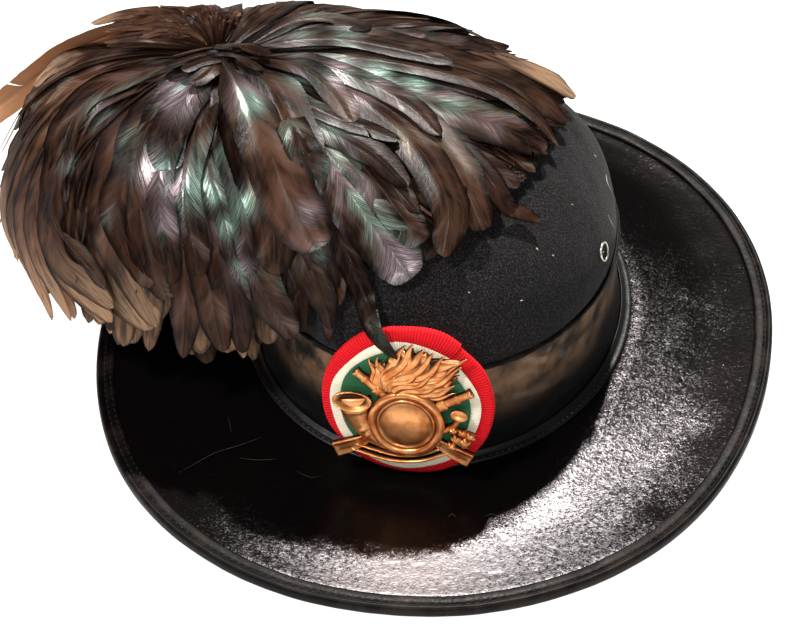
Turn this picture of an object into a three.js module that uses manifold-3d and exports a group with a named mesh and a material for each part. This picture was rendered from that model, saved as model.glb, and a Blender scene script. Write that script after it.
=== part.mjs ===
// Bersaglieri hat: a waxed-leather brim, a cloth crown with a tall leather band, a tricolour
// cockade with a struck brass badge, and a side plume of cock feathers.
// Units are millimetres. +Z is up, -Y is the front of the hat and +X is the wearer's left.
// The hat lies on the flat back and sides of its brim edge, at z = 0.
import * as THREE from "three";
import { mergeVertices } from "three/addons/utils/BufferGeometryUtils.js";
import Module from "manifold-3d";

const wasm = await Module();
wasm.setup();

// Driving dimensions
const GAP = 0.3;

const BRIM_THICKNESS = 2;
const BRIM_HALF_WIDTH = 151;
const BRIM_FRONT = 190.5;
const BRIM_BACK = 169;
const BRIM_CENTRE_Y = -3;
const BRIM_SQUARENESS = 2.12;
const FRONT_LIFT = 5;
const LIFT_START = 0.5;
const MIDWAY_LIFT = 0.35;

const BINDING_WIDTH = 8;
const BINDING_THICKNESS = 1;
const BINDING_CORNER = 0.8;

const FOOT_HEIGHT = 4;
const BAND_HEIGHT = 46.7;
const BAND_THICKNESS = 1.2;
const PIPING_RADIUS = 1;
const WELT_WIDTH = 4.7;
const WELT_HEIGHT = 3;
const WELT_EDGE = 1;
const WELT_FLANK = { width: 0.33, height: 0.6 };

const CROWN_WALL = 2.5;
const CROWN_HALF_WIDTH = 78;
const CROWN_HALF_LENGTH = 96;
const CROWN_CENTRE_Y = -8;
const CROWN_RISE = 54.5;
const CROWN_ROUNDNESS = 2.28;
const DOME_STEPS = 7;

const VENT_RADIUS = 4.4;
const VENT_WIRE = 0.7;
const VENT_Y = -33;
const VENT_HEIGHT = 70;

const COCKADE_PLACE = new THREE.Vector3(2.6, -107.6, 43.3);
const COCKADE_LEAN = THREE.MathUtils.degToRad(7);
const BADGE_UP = 2.8;

const KNOT = new THREE.Vector3(-100, 12, 119);
const KNOT_RADIUS = 7;
const STEM_RADIUS = 2.6;
const STEM_FOOT_HEIGHT = 20;
const STEM_FOOT_CLEAR = 2.1;
const STEM_WAIST_CLEAR = 2.6;
const TUFT_RADIUS = 14;
const TUFT_HEIGHT = 13;
const PLUME_CLEARANCE = 2.4;

const RING_STEPS = 60;
const CROWN_STEPS = 48;
const BUNCH_STEP_DEGREES = 11;
const BAR_STEPS_PER_ROW = 1.5;

// Outer surface of the leather band, from its foot to its top edge
const BAND_SECTIONS = [
  { height: 0, halfWidth: 82, halfLength: 105.5, centreY: 0 },
  { height: 10, halfWidth: 80.6, halfLength: 102.4, centreY: -1.8 },
  { height: 24, halfWidth: 79.2, halfLength: 99.4, centreY: -4.2 },
  {
    height: BAND_HEIGHT,
    halfWidth: CROWN_HALF_WIDTH,
    halfLength: CROWN_HALF_LENGTH,
    centreY: CROWN_CENTRE_Y,
  },
];

// Each bunch of the plume covers a fan of directions round the knot, in degrees from +X
const PLUME_BUNCHES = [
  { name: "plume_crown", from: -44, to: 27 },
  { name: "plume_front", from: -98, to: -46.5 },
  { name: "plume_side", from: -192, to: -100.5 },
  { name: "plume_back", from: -330.5, to: -194.5 },
];

// How far the feathers reach from the knot, and how high their tips are, by direction
const PLUME_REACH = [
  { direction: -334, reach: 135, tipHeight: 92, loft: 5 },
  { direction: -310, reach: 112, tipHeight: 66, loft: 2 },
  { direction: -270, reach: 84, tipHeight: 46, loft: 0 },
  { direction: -225, reach: 92, tipHeight: 44, loft: 0 },
  { direction: -190, reach: 102, tipHeight: 46, loft: 1 },
  { direction: -165, reach: 104, tipHeight: 42, loft: 2 },
  { direction: -130, reach: 98, tipHeight: 40, loft: 5 },
  { direction: -100, reach: 102, tipHeight: 36, loft: 7 },
  { direction: -75, reach: 106, tipHeight: 40, loft: 7 },
  { direction: -62, reach: 122, tipHeight: 62, loft: 6 },
  { direction: -50, reach: 134, tipHeight: 92, loft: 6 },
  { direction: -38, reach: 150, tipHeight: 101, loft: 6 },
  { direction: -20, reach: 150, tipHeight: 108, loft: 6 },
  { direction: 12, reach: 156, tipHeight: 101, loft: 6 },
  { direction: 27, reach: 135, tipHeight: 92, loft: 6 },
];

// The fall of one feather: share of its reach, share of its drop, share of its loft, and the
// thickness of the bunch there
const PLUME_FALL = [
  { along: 0.07, drop: 0, loft: 0, thickness: 3 },
  { along: 0.2, drop: 0, loft: 0.9, thickness: 7 },
  { along: 0.42, drop: 0.03, loft: 1, thickness: 10 },
  { along: 0.66, drop: 0.14, loft: 0.7, thickness: 11 },
  { along: 0.84, drop: 0.36, loft: 0.3, thickness: 11 },
  { along: 0.96, drop: 0.66, loft: 0, thickness: 9 },
  { along: 1, drop: 1, loft: 0, thickness: 3 },
];

// Course of the long stray feather: how far out from the knot, how high, how far back, and its
// half width
const LONG_FEATHER = [
  { out: 6.9, height: 121.8, back: 0, halfWidth: 0.8 },
  { out: 24, height: 128, back: 2, halfWidth: 2 },
  { out: 46, height: 128, back: 6, halfWidth: 6 },
  { out: 72, height: 117, back: 10, halfWidth: 8 },
  { out: 100, height: 90, back: 16, halfWidth: 9 },
  { out: 117, height: 66, back: 21, halfWidth: 7 },
  { out: 127, height: 46, back: 25, halfWidth: 1.5 },
];
const LONG_FEATHER_THICKNESS = 1.6;
const LONG_FEATHER_TILT = THREE.MathUtils.degToRad(35);

// Half section of the tuft over the knot, in shares of its radius and height
const TUFT_PROFILE = [
  { out: 0, rise: 0 },
  { out: 0.25, rise: 0 },
  { out: 0.4, rise: 0.25 },
  { out: 0.77, rise: 0.65 },
  { out: 1, rise: 1 },
  { out: 0.5, rise: 0.85 },
  { out: 0, rise: 0.6 },
];

// Materials
const paint = (colour, roughness, metalness = 0) =>
  new THREE.MeshStandardMaterial({ color: colour, roughness, metalness });

const MATERIALS = {
  leather: paint(0x17181a, 0.35),
  cloth: paint(0x101012, 0.95),
  nickel: paint(0xc9c6bf, 0.35, 1),
  red: paint(0xd8202e, 0.8),
  white: paint(0xf2ecd4, 0.8),
  green: paint(0x1f4a30, 0.8),
  brass: paint(0xb9783c, 0.35, 1),
  feather: paint(0x2a1f1c, 0.45),
  stem: paint(0x1d1c1e, 0.8),
};

// Small helpers

// Looks a value up in a table with a rising key column, on straight lines between its rows.
function lookUp(table, key, at) {
  const last = table.length - 1;
  let row = 0;
  while (row < last - 1 && at > table[row + 1][key]) row += 1;
  const low = table[row];
  const high = table[row + 1];
  const share = THREE.MathUtils.clamp((at - low[key]) / (high[key] - low[key]), 0, 1);
  const blended = {};
  for (const column of Object.keys(low)) {
    blended[column] = THREE.MathUtils.lerp(low[column], high[column], share);
  }
  return blended;
}

function geometryOf(points, faces) {
  const geometry = new THREE.BufferGeometry();
  const values = points.flatMap((point) => point.toArray());
  geometry.setAttribute("position", new THREE.Float32BufferAttribute(values, 3));
  geometry.setIndex(faces);
  return geometry;
}

// Joins rings of points into one skin. A closed skin joins its last ring to its first, and an
// open one is capped at both ends.
function skin(rings, closed) {
  const count = rings[0].length;
  const points = rings.flat();
  const faces = [];
  const bands = closed ? rings.length : rings.length - 1;
  for (let i = 0; i < bands; i += 1) {
    const here = i * count;
    const next = ((i + 1) % rings.length) * count;
    for (let j = 0; j < count; j += 1) {
      const k = (j + 1) % count;
      faces.push(here + j, here + k, next + k, here + j, next + k, next + j);
    }
  }
  if (!closed) {
    const start = points.push(centreOf(rings[0])) - 1;
    const end = points.push(centreOf(rings.at(-1))) - 1;
    const lastRing = (rings.length - 1) * count;
    for (let j = 0; j < count; j += 1) {
      const k = (j + 1) % count;
      faces.push(start, k, j, end, lastRing + j, lastRing + k);
    }
  }
  return geometryOf(points, faces);
}

function centreOf(ring) {
  const sum = ring.reduce((total, point) => total.add(point), new THREE.Vector3());
  return sum.divideScalar(ring.length);
}

function toSolid(geometry) {
  const bare = geometry.clone();
  bare.deleteAttribute("normal");
  bare.deleteAttribute("uv");
  const merged = mergeVertices(bare, 1e-4);
  const vertProperties = merged.attributes.position.array;
  const triVerts = new Uint32Array(merged.index.array);
  return new wasm.Manifold(new wasm.Mesh({ numProp: 3, vertProperties, triVerts }));
}

function toGeometry(solid) {
  const mesh = solid.getMesh();
  const geometry = new THREE.BufferGeometry();
  geometry.setAttribute("position", new THREE.BufferAttribute(mesh.vertProperties, 3));
  geometry.setIndex(new THREE.BufferAttribute(mesh.triVerts, 1));
  return geometry;
}

const joined = (geometries) => geometries.map(toSolid).reduce((total, solid) => total.add(solid));

function piece(name, geometry, material) {
  const mesh = new THREE.Mesh(geometry, material);
  mesh.name = name;
  return mesh;
}

// Ovals

// One point of an oval whose front and back halves differ in length.
function ovalPoint(oval, angle, height) {
  const c = Math.cos(angle);
  const s = Math.sin(angle);
  const power = oval.squareness;
  const stretch = (Math.abs(c) ** power + Math.abs(s) ** power) ** (-1 / power);
  const length = s < 0 ? oval.front : oval.back;
  return new THREE.Vector3(oval.halfWidth * c * stretch, oval.centreY + length * s * stretch, height);
}

function ovalRing(oval, heightAt, steps) {
  return Array.from({ length: steps }, (unused, i) => {
    const angle = (i / steps) * 2 * Math.PI;
    return ovalPoint(oval, angle, heightAt(angle));
  });
}

const grown = (oval, by) => ({
  ...oval,
  halfWidth: oval.halfWidth + by,
  front: oval.front + by,
  back: oval.back + by,
});

function mixed(a, b, share) {
  const result = {};
  for (const key of Object.keys(a)) result[key] = THREE.MathUtils.lerp(a[key], b[key], share);
  return result;
}

const BRIM_EDGE = {
  halfWidth: BRIM_HALF_WIDTH,
  front: BRIM_FRONT,
  back: BRIM_BACK,
  centreY: BRIM_CENTRE_Y,
  squareness: BRIM_SQUARENESS,
};

// The band's outer oval at a height above its foot.
function bandOval(height) {
  const row = lookUp(BAND_SECTIONS, "height", height);
  return {
    halfWidth: row.halfWidth,
    front: row.halfLength,
    back: row.halfLength,
    centreY: row.centreY,
    squareness: 2,
  };
}

// Brim

const BRIM_BOTTOM = BINDING_THICKNESS + GAP;
const BRIM_TOP_AT_FOOT = FOOT_HEIGHT + BRIM_THICKNESS;
const BAND_FOOT = BRIM_TOP_AT_FOOT + GAP;
const BAND_TOP = BAND_FOOT + BAND_HEIGHT;
const PIPING_HEIGHT = BAND_TOP + GAP + PIPING_RADIUS;
const CLOTH_FOOT = PIPING_HEIGHT + PIPING_RADIUS + GAP;
const FOOT_OVAL = bandOval(0);
const HOLE_INSET = BAND_THICKNESS + GAP + CROWN_WALL;

// The front of the brim curls up a little; the sides and the back stay flat.
function frontLift(angle) {
  const share = Math.max(0, (-Math.sin(angle) - LIFT_START) / (1 - LIFT_START));
  return FRONT_LIFT * share * share * (3 - 2 * share);
}

// The brim's sheet, flat under the welt and inside the binding and sloping down between them.
function makeBrim() {
  const edge = grown(BRIM_EDGE, -(BINDING_THICKNESS + 2 * GAP));
  const beforeBinding = grown(BRIM_EDGE, -(BINDING_WIDTH + 1));
  const afterWelt = grown(FOOT_OVAL, WELT_WIDTH + 2);
  const halfway = mixed(afterWelt, beforeBinding, 0.5);
  const rows = [
    { oval: grown(FOOT_OVAL, -HOLE_INSET), height: FOOT_HEIGHT, lift: 0 },
    { oval: afterWelt, height: FOOT_HEIGHT, lift: 0 },
    { oval: halfway, height: (FOOT_HEIGHT + BRIM_BOTTOM) / 2, lift: MIDWAY_LIFT },
    { oval: beforeBinding, height: BRIM_BOTTOM, lift: 1 },
    { oval: edge, height: BRIM_BOTTOM, lift: 1 },
  ];
  const ringOf = (row, rise) =>
    ovalRing(row.oval, (angle) => row.height + row.lift * frontLift(angle) + rise, RING_STEPS);
  const under = rows.map((row) => ringOf(row, 0));
  const over = rows.map((row) => ringOf(row, BRIM_THICKNESS)).reverse();
  return piece("brim", skin([...over, ...under], true), MATERIALS.leather);
}

// Folded strip round the brim's edge

function makeBinding() {
  const inner = BINDING_THICKNESS + GAP;
  const top = 2 * inner + BRIM_THICKNESS;
  const section = [
    { inset: BINDING_WIDTH, height: 0 },
    { inset: BINDING_CORNER, height: 0 },
    { inset: 0, height: BINDING_CORNER },
    { inset: 0, height: top - BINDING_CORNER },
    { inset: BINDING_CORNER, height: top },
    { inset: BINDING_WIDTH, height: top },
    { inset: BINDING_WIDTH, height: top - BINDING_THICKNESS },
    { inset: inner, height: top - BINDING_THICKNESS },
    { inset: inner, height: BINDING_THICKNESS },
    { inset: BINDING_WIDTH, height: BINDING_THICKNESS },
  ];
  const rings = section.map((row) =>
    ovalRing(grown(BRIM_EDGE, -row.inset), (angle) => row.height + frontLift(angle), RING_STEPS),
  );
  return piece("brim_binding", skin(rings, true), MATERIALS.leather);
}

// Crown and band

// The crown's outer surface: flush with the band above the seam, and behind the band below it.
function crownRings(inset) {
  const rings = [];
  for (const row of BAND_SECTIONS) {
    const oval = grown(bandOval(row.height), -(BAND_THICKNESS + GAP + inset));
    rings.push(ovalRing(oval, () => BAND_FOOT + row.height, CROWN_STEPS));
  }
  for (let i = 0; i < DOME_STEPS; i += 1) {
    const rise = Math.sin(((i / DOME_STEPS) * Math.PI) / 2);
    const narrow = (1 - rise ** CROWN_ROUNDNESS) ** (1 / CROWN_ROUNDNESS);
    const oval = {
      halfWidth: (CROWN_HALF_WIDTH - inset) * narrow,
      front: (CROWN_HALF_LENGTH - inset) * narrow,
      back: (CROWN_HALF_LENGTH - inset) * narrow,
      centreY: CROWN_CENTRE_Y,
      squareness: 2,
    };
    rings.push(ovalRing(oval, () => CLOTH_FOOT + (CROWN_RISE - inset) * rise, CROWN_STEPS));
  }
  return rings;
}

function makeCrown() {
  const outer = crownRings(0);
  const inner = crownRings(CROWN_WALL);
  return piece("crown", skin([...inner.reverse(), ...outer], false), MATERIALS.cloth);
}

function makeBand() {
  const ringsAt = (inset) =>
    BAND_SECTIONS.map((row) =>
      ovalRing(grown(bandOval(row.height), -inset), () => BAND_FOOT + row.height, CROWN_STEPS),
    );
  const outer = ringsAt(0);
  const inner = ringsAt(BAND_THICKNESS).reverse();
  return piece("crown_band", skin([...outer, ...inner], true), MATERIALS.leather);
}

// Piping in the seam between the cloth and the band

function makePiping() {
  const sides = 6;
  const clear = (BAND_THICKNESS + GAP) / 2;
  const rings = [];
  for (let i = 0; i < sides; i += 1) {
    const turn = (i / sides) * 2 * Math.PI;
    const oval = grown(bandOval(BAND_HEIGHT), clear + PIPING_RADIUS * Math.cos(turn));
    rings.push(ovalRing(oval, () => PIPING_HEIGHT + PIPING_RADIUS * Math.sin(turn), CROWN_STEPS));
  }
  return piece("band_piping", skin(rings, true), MATERIALS.leather);
}

// Stitched strip that lies on the brim round the foot of the band

function makeWelt() {
  const section = [
    { out: GAP, rise: 0 },
    { out: GAP + WELT_WIDTH, rise: 0 },
    { out: GAP + WELT_WIDTH, rise: WELT_EDGE },
    { out: GAP + WELT_WIDTH * WELT_FLANK.width, rise: WELT_HEIGHT * WELT_FLANK.height },
    { out: GAP, rise: WELT_HEIGHT },
  ];
  const rings = section.map((row) =>
    ovalRing(grown(FOOT_OVAL, row.out), () => BAND_FOOT + row.rise, CROWN_STEPS),
  );
  return piece("foot_welt", skin(rings, true), MATERIALS.leather);
}

// Vent ring low on the wearer's left side of the crown

function makeVent() {
  const rise = (VENT_HEIGHT - CLOTH_FOOT) / CROWN_RISE;
  const narrow = (1 - rise ** CROWN_ROUNDNESS) ** (1 / CROWN_ROUNDNESS);
  const y = (VENT_Y - CROWN_CENTRE_Y) / (CROWN_HALF_LENGTH * narrow);
  const x = Math.sqrt(1 - y * y);
  const place = new THREE.Vector3(CROWN_HALF_WIDTH * narrow * x, VENT_Y, VENT_HEIGHT);
  const sideways = narrow ** (CROWN_ROUNDNESS - 1);
  const outward = new THREE.Vector3(
    (sideways * x) / CROWN_HALF_WIDTH,
    (sideways * y) / CROWN_HALF_LENGTH,
    rise ** (CROWN_ROUNDNESS - 1) / CROWN_RISE,
  ).normalize();
  const wire = new THREE.TorusGeometry(VENT_RADIUS, VENT_WIRE, 6, 16);
  const ring = piece("vent_eyelet", wire, MATERIALS.nickel);
  ring.position.copy(place).addScaledVector(outward, VENT_WIRE + GAP);
  ring.quaternion.setFromUnitVectors(new THREE.Vector3(0, 0, 1), outward);
  return ring;
}

// Cockade: three ribbed discs, one on another. Its own +X is across, +Y up and +Z outward.

const COCKADE_DISCS = [
  { name: "cockade_red", slot: "red", radius: 36.8, thickness: 4.1, across: 0, up: 0 },
  { name: "cockade_white", slot: "white", radius: 31.6, thickness: 0.7, across: -0.8, up: -1.3 },
  { name: "cockade_green", slot: "green", radius: 27.4, thickness: 0.7, across: -0.8, up: -1 },
];

function makeCockade() {
  const cockade = new THREE.Group();
  let back = 0;
  for (const row of COCKADE_DISCS) {
    const disc = piece(
      row.name,
      new THREE.CylinderGeometry(row.radius, row.radius, row.thickness, CROWN_STEPS),
      MATERIALS[row.slot],
    );
    disc.rotation.x = Math.PI / 2;
    disc.position.set(row.across, row.up, back + row.thickness / 2);
    cockade.add(disc);
    back += row.thickness + GAP;
  }
  const badge = makeBadge();
  badge.position.set(0, BADGE_UP, back);
  cockade.add(badge);
  cockade.position.copy(COCKADE_PLACE);
  cockade.rotation.x = Math.PI / 2 - COCKADE_LEAN;
  return cockade;
}

// Badge. Every part is a raised, flat-backed bar that bends and tapers: a row gives its centre
// line across and up the badge and its half width there.

const HORN_CENTRE = { across: 0.2, up: -9.4 };
const HORN_RADIUS = 13.7;
const HORN_TUBE = 1.95;
const BAR_FLATNESS = 0.6;
const BOSS_RADIUS = 11.4;
const BOSS_RISE = 3.2;
const BOSS_SEAT = 2.5;

// Half section of the domed disc, in shares of its radius and rise
const BOSS_PROFILE = [
  { out: 0, rise: 0 },
  { out: 1, rise: 0 },
  { out: 1, rise: 0.2 },
  { out: 0.82, rise: 0.5 },
  { out: 0.5, rise: 0.85 },
  { out: 0, rise: 1 },
];

const BADGE_BARS = {
  bell: [
    { across: -22, up: 1, half: 7.8 },
    { across: -21.5, up: -8, half: 6 },
    { across: -18, up: -16, half: 4.2 },
    { across: -10, up: -21.5, half: 3 },
    { across: -2, up: -23.2, half: 2 },
  ],
  leftMuzzle: [
    { across: -21.2, up: 13, half: 1.8 },
    { across: 8, up: -12, half: 1.9 },
    { across: 13, up: -16.5, half: 2.2 },
    { across: 27, up: -25.2, half: 3.2 },
  ],
  rightMuzzle: [
    { across: 26.3, up: 7.8, half: 1.8 },
    { across: -8, up: -14, half: 1.9 },
    { across: -16, up: -19.5, half: 2.2 },
    { across: -29, up: -26.7, half: 3.4 },
  ],
  upperRail: [
    { across: -20, up: -22.8, half: 0.9 },
    { across: -3, up: -26.6, half: 0.9 },
    { across: 14, up: -20.5, half: 0.9 },
  ],
  lowerRail: [
    { across: -22, up: -25.6, half: 0.9 },
    { across: -3, up: -29.6, half: 0.9 },
    { across: 17.5, up: -22.6, half: 0.9 },
  ],
  mouthpiece: [
    { across: 22, up: -1.8, half: 3.3 },
    { across: 21, up: -7, half: 1.7 },
    { across: 17, up: -11, half: 1.7 },
    { across: 12, up: -13, half: 1.7 },
  ],
  knot: [
    { across: 20.5, up: -9, half: 1.5 },
    { across: 24.5, up: -12, half: 3 },
    { across: 24, up: -17, half: 3 },
    { across: 20.5, up: -21, half: 1.5 },
  ],
};

// Tongues of the flame, from the root over a bend to the tip
const FLAME_TONGUES = [
  { rootX: -7, rootY: 7, bendX: -14, bendY: 12, tipX: -15, tipY: 19.6, half: 2.4 },
  { rootX: -6, rootY: 7, bendX: -11, bendY: 13, tipX: -11.5, tipY: 20.5, half: 2.4 },
  { rootX: -4, rootY: 6, bendX: -7, bendY: 15, tipX: -0.7, tipY: 27, half: 3 },
  { rootX: -2, rootY: 6, bendX: -3, bendY: 17, tipX: 2.4, tipY: 28, half: 3.4 },
  { rootX: 0, rootY: 6, bendX: 3, bendY: 17, tipX: 14, tipY: 23.8, half: 3.8 },
  { rootX: 2, rootY: 6, bendX: 9, bendY: 15, tipX: 23.5, tipY: 23, half: 3.6 },
  { rootX: 3, rootY: 6, bendX: 11, bendY: 12, tipX: 21, tipY: 15.5, half: 3.2 },
  { rootX: 4, rootY: 5, bendX: 11, bendY: 9.5, tipX: 20.2, tipY: 7, half: 2.6 },
];
const TIP_HALF = 0.4;
const ROOT_NARROWING = 0.7;

function bar(rows, steps) {
  const sides = 6;
  const line = new THREE.CatmullRomCurve3(rows.map((row) => new THREE.Vector3(row.across, row.up, 0)));
  const rings = [];
  for (let i = 0; i <= steps; i += 1) {
    const share = i / steps;
    const centre = line.getPoint(share);
    const along = line.getTangent(share);
    const side = new THREE.Vector3(-along.y, along.x, 0);
    const place = share * (rows.length - 1);
    const before = Math.min(Math.floor(place), rows.length - 2);
    const half = THREE.MathUtils.lerp(rows[before].half, rows[before + 1].half, place - before);
    rings.push(
      Array.from({ length: sides }, (unused, j) => {
        const turn = (j / sides) * 2 * Math.PI;
        const point = centre.clone().addScaledVector(side, half * Math.cos(turn));
        point.z = half * BAR_FLATNESS * (1 + Math.sin(turn));
        return point;
      }),
    );
  }
  return skin(rings, false);
}

function makeBadge() {
  const horn = new THREE.TorusGeometry(HORN_RADIUS, HORN_TUBE, 6, 24);
  horn.translate(HORN_CENTRE.across, HORN_CENTRE.up, HORN_TUBE);
  const bars = Object.values(BADGE_BARS).map((rows) =>
    bar(rows, Math.round(BAR_STEPS_PER_ROW * rows.length)),
  );
  const tongues = FLAME_TONGUES.map((row) =>
    bar(
      [
        { across: row.rootX, up: row.rootY, half: row.half * ROOT_NARROWING },
        { across: row.bendX, up: row.bendY, half: row.half },
        { across: row.tipX, up: row.tipY, half: TIP_HALF },
      ],
      4,
    ),
  );
  const struck = piece("badge", toGeometry(joined([horn, ...bars, ...tongues])), MATERIALS.brass);

  const boss = piece("badge_boss", turned(BOSS_PROFILE, BOSS_RADIUS, BOSS_RISE, 24), MATERIALS.brass);
  boss.position.set(HORN_CENTRE.across, HORN_CENTRE.up, BOSS_SEAT);

  const badge = new THREE.Group();
  badge.add(struck, boss);
  return badge;
}

// Turns a table of shares into a solid round its own +Z.
function turned(table, radius, height, sides) {
  const profile = table.map((row) => new THREE.Vector2(row.out * radius, row.rise * height));
  return new THREE.LatheGeometry(profile, sides).rotateX(Math.PI / 2);
}

// Plume

// Post that carries the feathers, with the bound knot at its top.
function makeStem() {
  const side = -(CROWN_HALF_WIDTH + STEM_RADIUS);
  const foot = new THREE.Vector3(side - STEM_FOOT_CLEAR, KNOT.y / 2, STEM_FOOT_HEIGHT);
  const waist = new THREE.Vector3(side - STEM_WAIST_CLEAR, KNOT.y * 0.7, PIPING_HEIGHT);
  const line = new THREE.CatmullRomCurve3([foot, waist, KNOT]);
  const section = new THREE.Shape().absarc(0, 0, STEM_RADIUS, 0, 2 * Math.PI);
  const post = new THREE.ExtrudeGeometry(section, { steps: 6, curveSegments: 4, extrudePath: line });
  const knot = new THREE.SphereGeometry(KNOT_RADIUS, 12, 8).translate(KNOT.x, KNOT.y, KNOT.z);
  return piece("plume_stem", toGeometry(joined([post, knot])), MATERIALS.stem);
}

// The section of the plume in one direction: how far out and how high, outside and inside.
function plumeSection(direction) {
  const { reach, tipHeight, loft } = lookUp(PLUME_REACH, "direction", direction);
  const outside = PLUME_FALL.map(
    (row) =>
      new THREE.Vector2(
        Math.max(row.along * reach, KNOT_RADIUS + GAP),
        KNOT.z + row.loft * loft - row.drop * (KNOT.z - tipHeight),
      ),
  );
  const inside = outside.map((point, i) => {
    const before = outside[Math.max(i - 1, 0)];
    const after = outside[Math.min(i + 1, outside.length - 1)];
    const along = after.clone().sub(before).normalize();
    const inward = new THREE.Vector2(along.y, -along.x);
    return point.clone().addScaledVector(inward, PLUME_FALL[i].thickness);
  });
  return [...outside, ...inside.reverse()];
}

function bunchGeometry({ from, to }) {
  const steps = Math.max(4, Math.round((to - from) / BUNCH_STEP_DEGREES));
  const rings = [];
  for (let i = 0; i <= steps; i += 1) {
    const direction = THREE.MathUtils.lerp(from, to, i / steps);
    const angle = THREE.MathUtils.degToRad(direction);
    rings.push(
      plumeSection(direction).map(
        (point) =>
          new THREE.Vector3(
            KNOT.x + point.x * Math.cos(angle),
            KNOT.y + point.x * Math.sin(angle),
            point.y,
          ),
      ),
    );
  }
  return sectionSkin(rings);
}

// Joins sections of a bunch, whose points run out along the outside and back along the inside,
// and closes its two ends with strips between the outside and the inside.
function sectionSkin(rings) {
  const count = rings[0].length;
  const faces = [];
  for (let i = 0; i < rings.length - 1; i += 1) {
    const here = i * count;
    const next = here + count;
    for (let j = 0; j < count; j += 1) {
      const k = (j + 1) % count;
      faces.push(here + j, here + k, next + k, here + j, next + k, next + j);
    }
  }
  const end = (rings.length - 1) * count;
  for (let j = 0; j < count / 2 - 1; j += 1) {
    const [a, b, c, d] = [j, j + 1, count - 2 - j, count - 1 - j];
    faces.push(a, d, c, a, c, b);
    faces.push(end + a, end + b, end + c, end + a, end + c, end + d);
  }
  return geometryOf(rings.flat(), faces);
}

function makePlume() {
  const keepOut = toSolid(skin(crownRings(-PLUME_CLEARANCE), false));
  const bunches = PLUME_BUNCHES.map((row) => {
    const bunch = toSolid(bunchGeometry(row)).subtract(keepOut);
    return piece(row.name, toGeometry(bunch), MATERIALS.feather);
  });
  return [makeStem(), ...bunches, makeTuft(), makeLongFeather()];
}

// Short feathers that stand up over the knot, as a cup that opens upwards.
function makeTuft() {
  const cup = turned(TUFT_PROFILE, TUFT_RADIUS, TUFT_HEIGHT, 14);
  const tuft = piece("plume_tuft", cup, MATERIALS.feather);
  tuft.position.set(KNOT.x, KNOT.y, KNOT.z + KNOT_RADIUS + GAP);
  return tuft;
}

// One long feather that stands clear of the bunches, a thin blade turned towards the front.
function makeLongFeather() {
  const across = new THREE.Vector3(0, -Math.cos(LONG_FEATHER_TILT), -Math.sin(LONG_FEATHER_TILT));
  const outward = new THREE.Vector3(0, -across.z, across.y).multiplyScalar(LONG_FEATHER_THICKNESS / 2);
  const rings = LONG_FEATHER.map((row) => {
    const middle = new THREE.Vector3(KNOT.x - row.out, KNOT.y + row.back, row.height);
    const edge = across.clone().multiplyScalar(row.halfWidth);
    return [
      middle.clone().add(edge),
      middle.clone().sub(outward),
      middle.clone().sub(edge),
      middle.clone().add(outward),
    ];
  });
  return piece("plume_long_feather", skin(rings, false), MATERIALS.feather);
}

// The whole hat, moved so that the middle of its box's underside is the origin
const hat = new THREE.Group();
hat.add(
  makeBrim(),
  makeBinding(),
  makeCrown(),
  makeBand(),
  makePiping(),
  makeWelt(),
  makeVent(),
  makeCockade(),
  ...makePlume(),
);
const box = new THREE.Box3().setFromObject(hat);
const middle = box.getCenter(new THREE.Vector3());
hat.position.set(-middle.x, -middle.y, -box.min.z);

export default hat;
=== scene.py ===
# Looks of the bersaglieri hat: waxed leather, cloth, ribbons, struck brass and cock feathers.
#
# Sizes are in millimetres in the hat's own frame: +Z is up, -Y is the front and +X is the wearer's
# left, with the origin below the middle of the band's foot. They become metres where a mesh is made.
# Pixels are counted in a frame of 800 by 636 and only say where a mark, gloss or a feather lies.
import math
from collections import namedtuple
from functools import partial

import bmesh
import bpy
import numpy as np
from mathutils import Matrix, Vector
from mathutils.bvhtree import BVHTree


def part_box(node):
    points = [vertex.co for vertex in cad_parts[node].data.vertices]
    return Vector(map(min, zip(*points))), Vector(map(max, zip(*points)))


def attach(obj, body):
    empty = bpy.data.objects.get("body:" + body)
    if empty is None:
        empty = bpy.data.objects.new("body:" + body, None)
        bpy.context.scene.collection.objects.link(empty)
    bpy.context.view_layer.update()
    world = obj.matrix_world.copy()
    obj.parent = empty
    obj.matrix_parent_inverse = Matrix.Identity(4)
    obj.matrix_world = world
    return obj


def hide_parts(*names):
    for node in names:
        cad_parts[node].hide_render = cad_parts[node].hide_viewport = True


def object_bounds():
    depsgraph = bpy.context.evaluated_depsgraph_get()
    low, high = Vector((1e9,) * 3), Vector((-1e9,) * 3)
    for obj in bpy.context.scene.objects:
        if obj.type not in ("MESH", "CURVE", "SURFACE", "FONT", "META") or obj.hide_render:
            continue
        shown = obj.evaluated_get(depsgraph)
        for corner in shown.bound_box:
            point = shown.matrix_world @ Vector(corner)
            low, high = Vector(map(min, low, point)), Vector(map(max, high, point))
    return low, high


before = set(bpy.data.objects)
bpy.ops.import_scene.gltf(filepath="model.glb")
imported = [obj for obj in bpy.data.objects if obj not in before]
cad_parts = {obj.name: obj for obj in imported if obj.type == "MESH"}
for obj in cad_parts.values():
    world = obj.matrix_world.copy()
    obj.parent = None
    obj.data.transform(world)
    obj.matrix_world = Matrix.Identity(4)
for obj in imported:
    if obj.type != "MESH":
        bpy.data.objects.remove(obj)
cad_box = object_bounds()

MILLIMETRE = 0.001
TURN = 2 * math.pi

# Sizes of the hat
GAP = 0.3

BRIM_THICKNESS = 2
BRIM_HALF_WIDTH = 151
BRIM_FRONT = 190.5
BRIM_BACK = 169
BRIM_CENTRE_Y = -3
BRIM_SQUARENESS = 2.12
FRONT_LIFT = 5
LIFT_START = 0.5
BINDING_WIDTH = 8
BINDING_THICKNESS = 1

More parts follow.
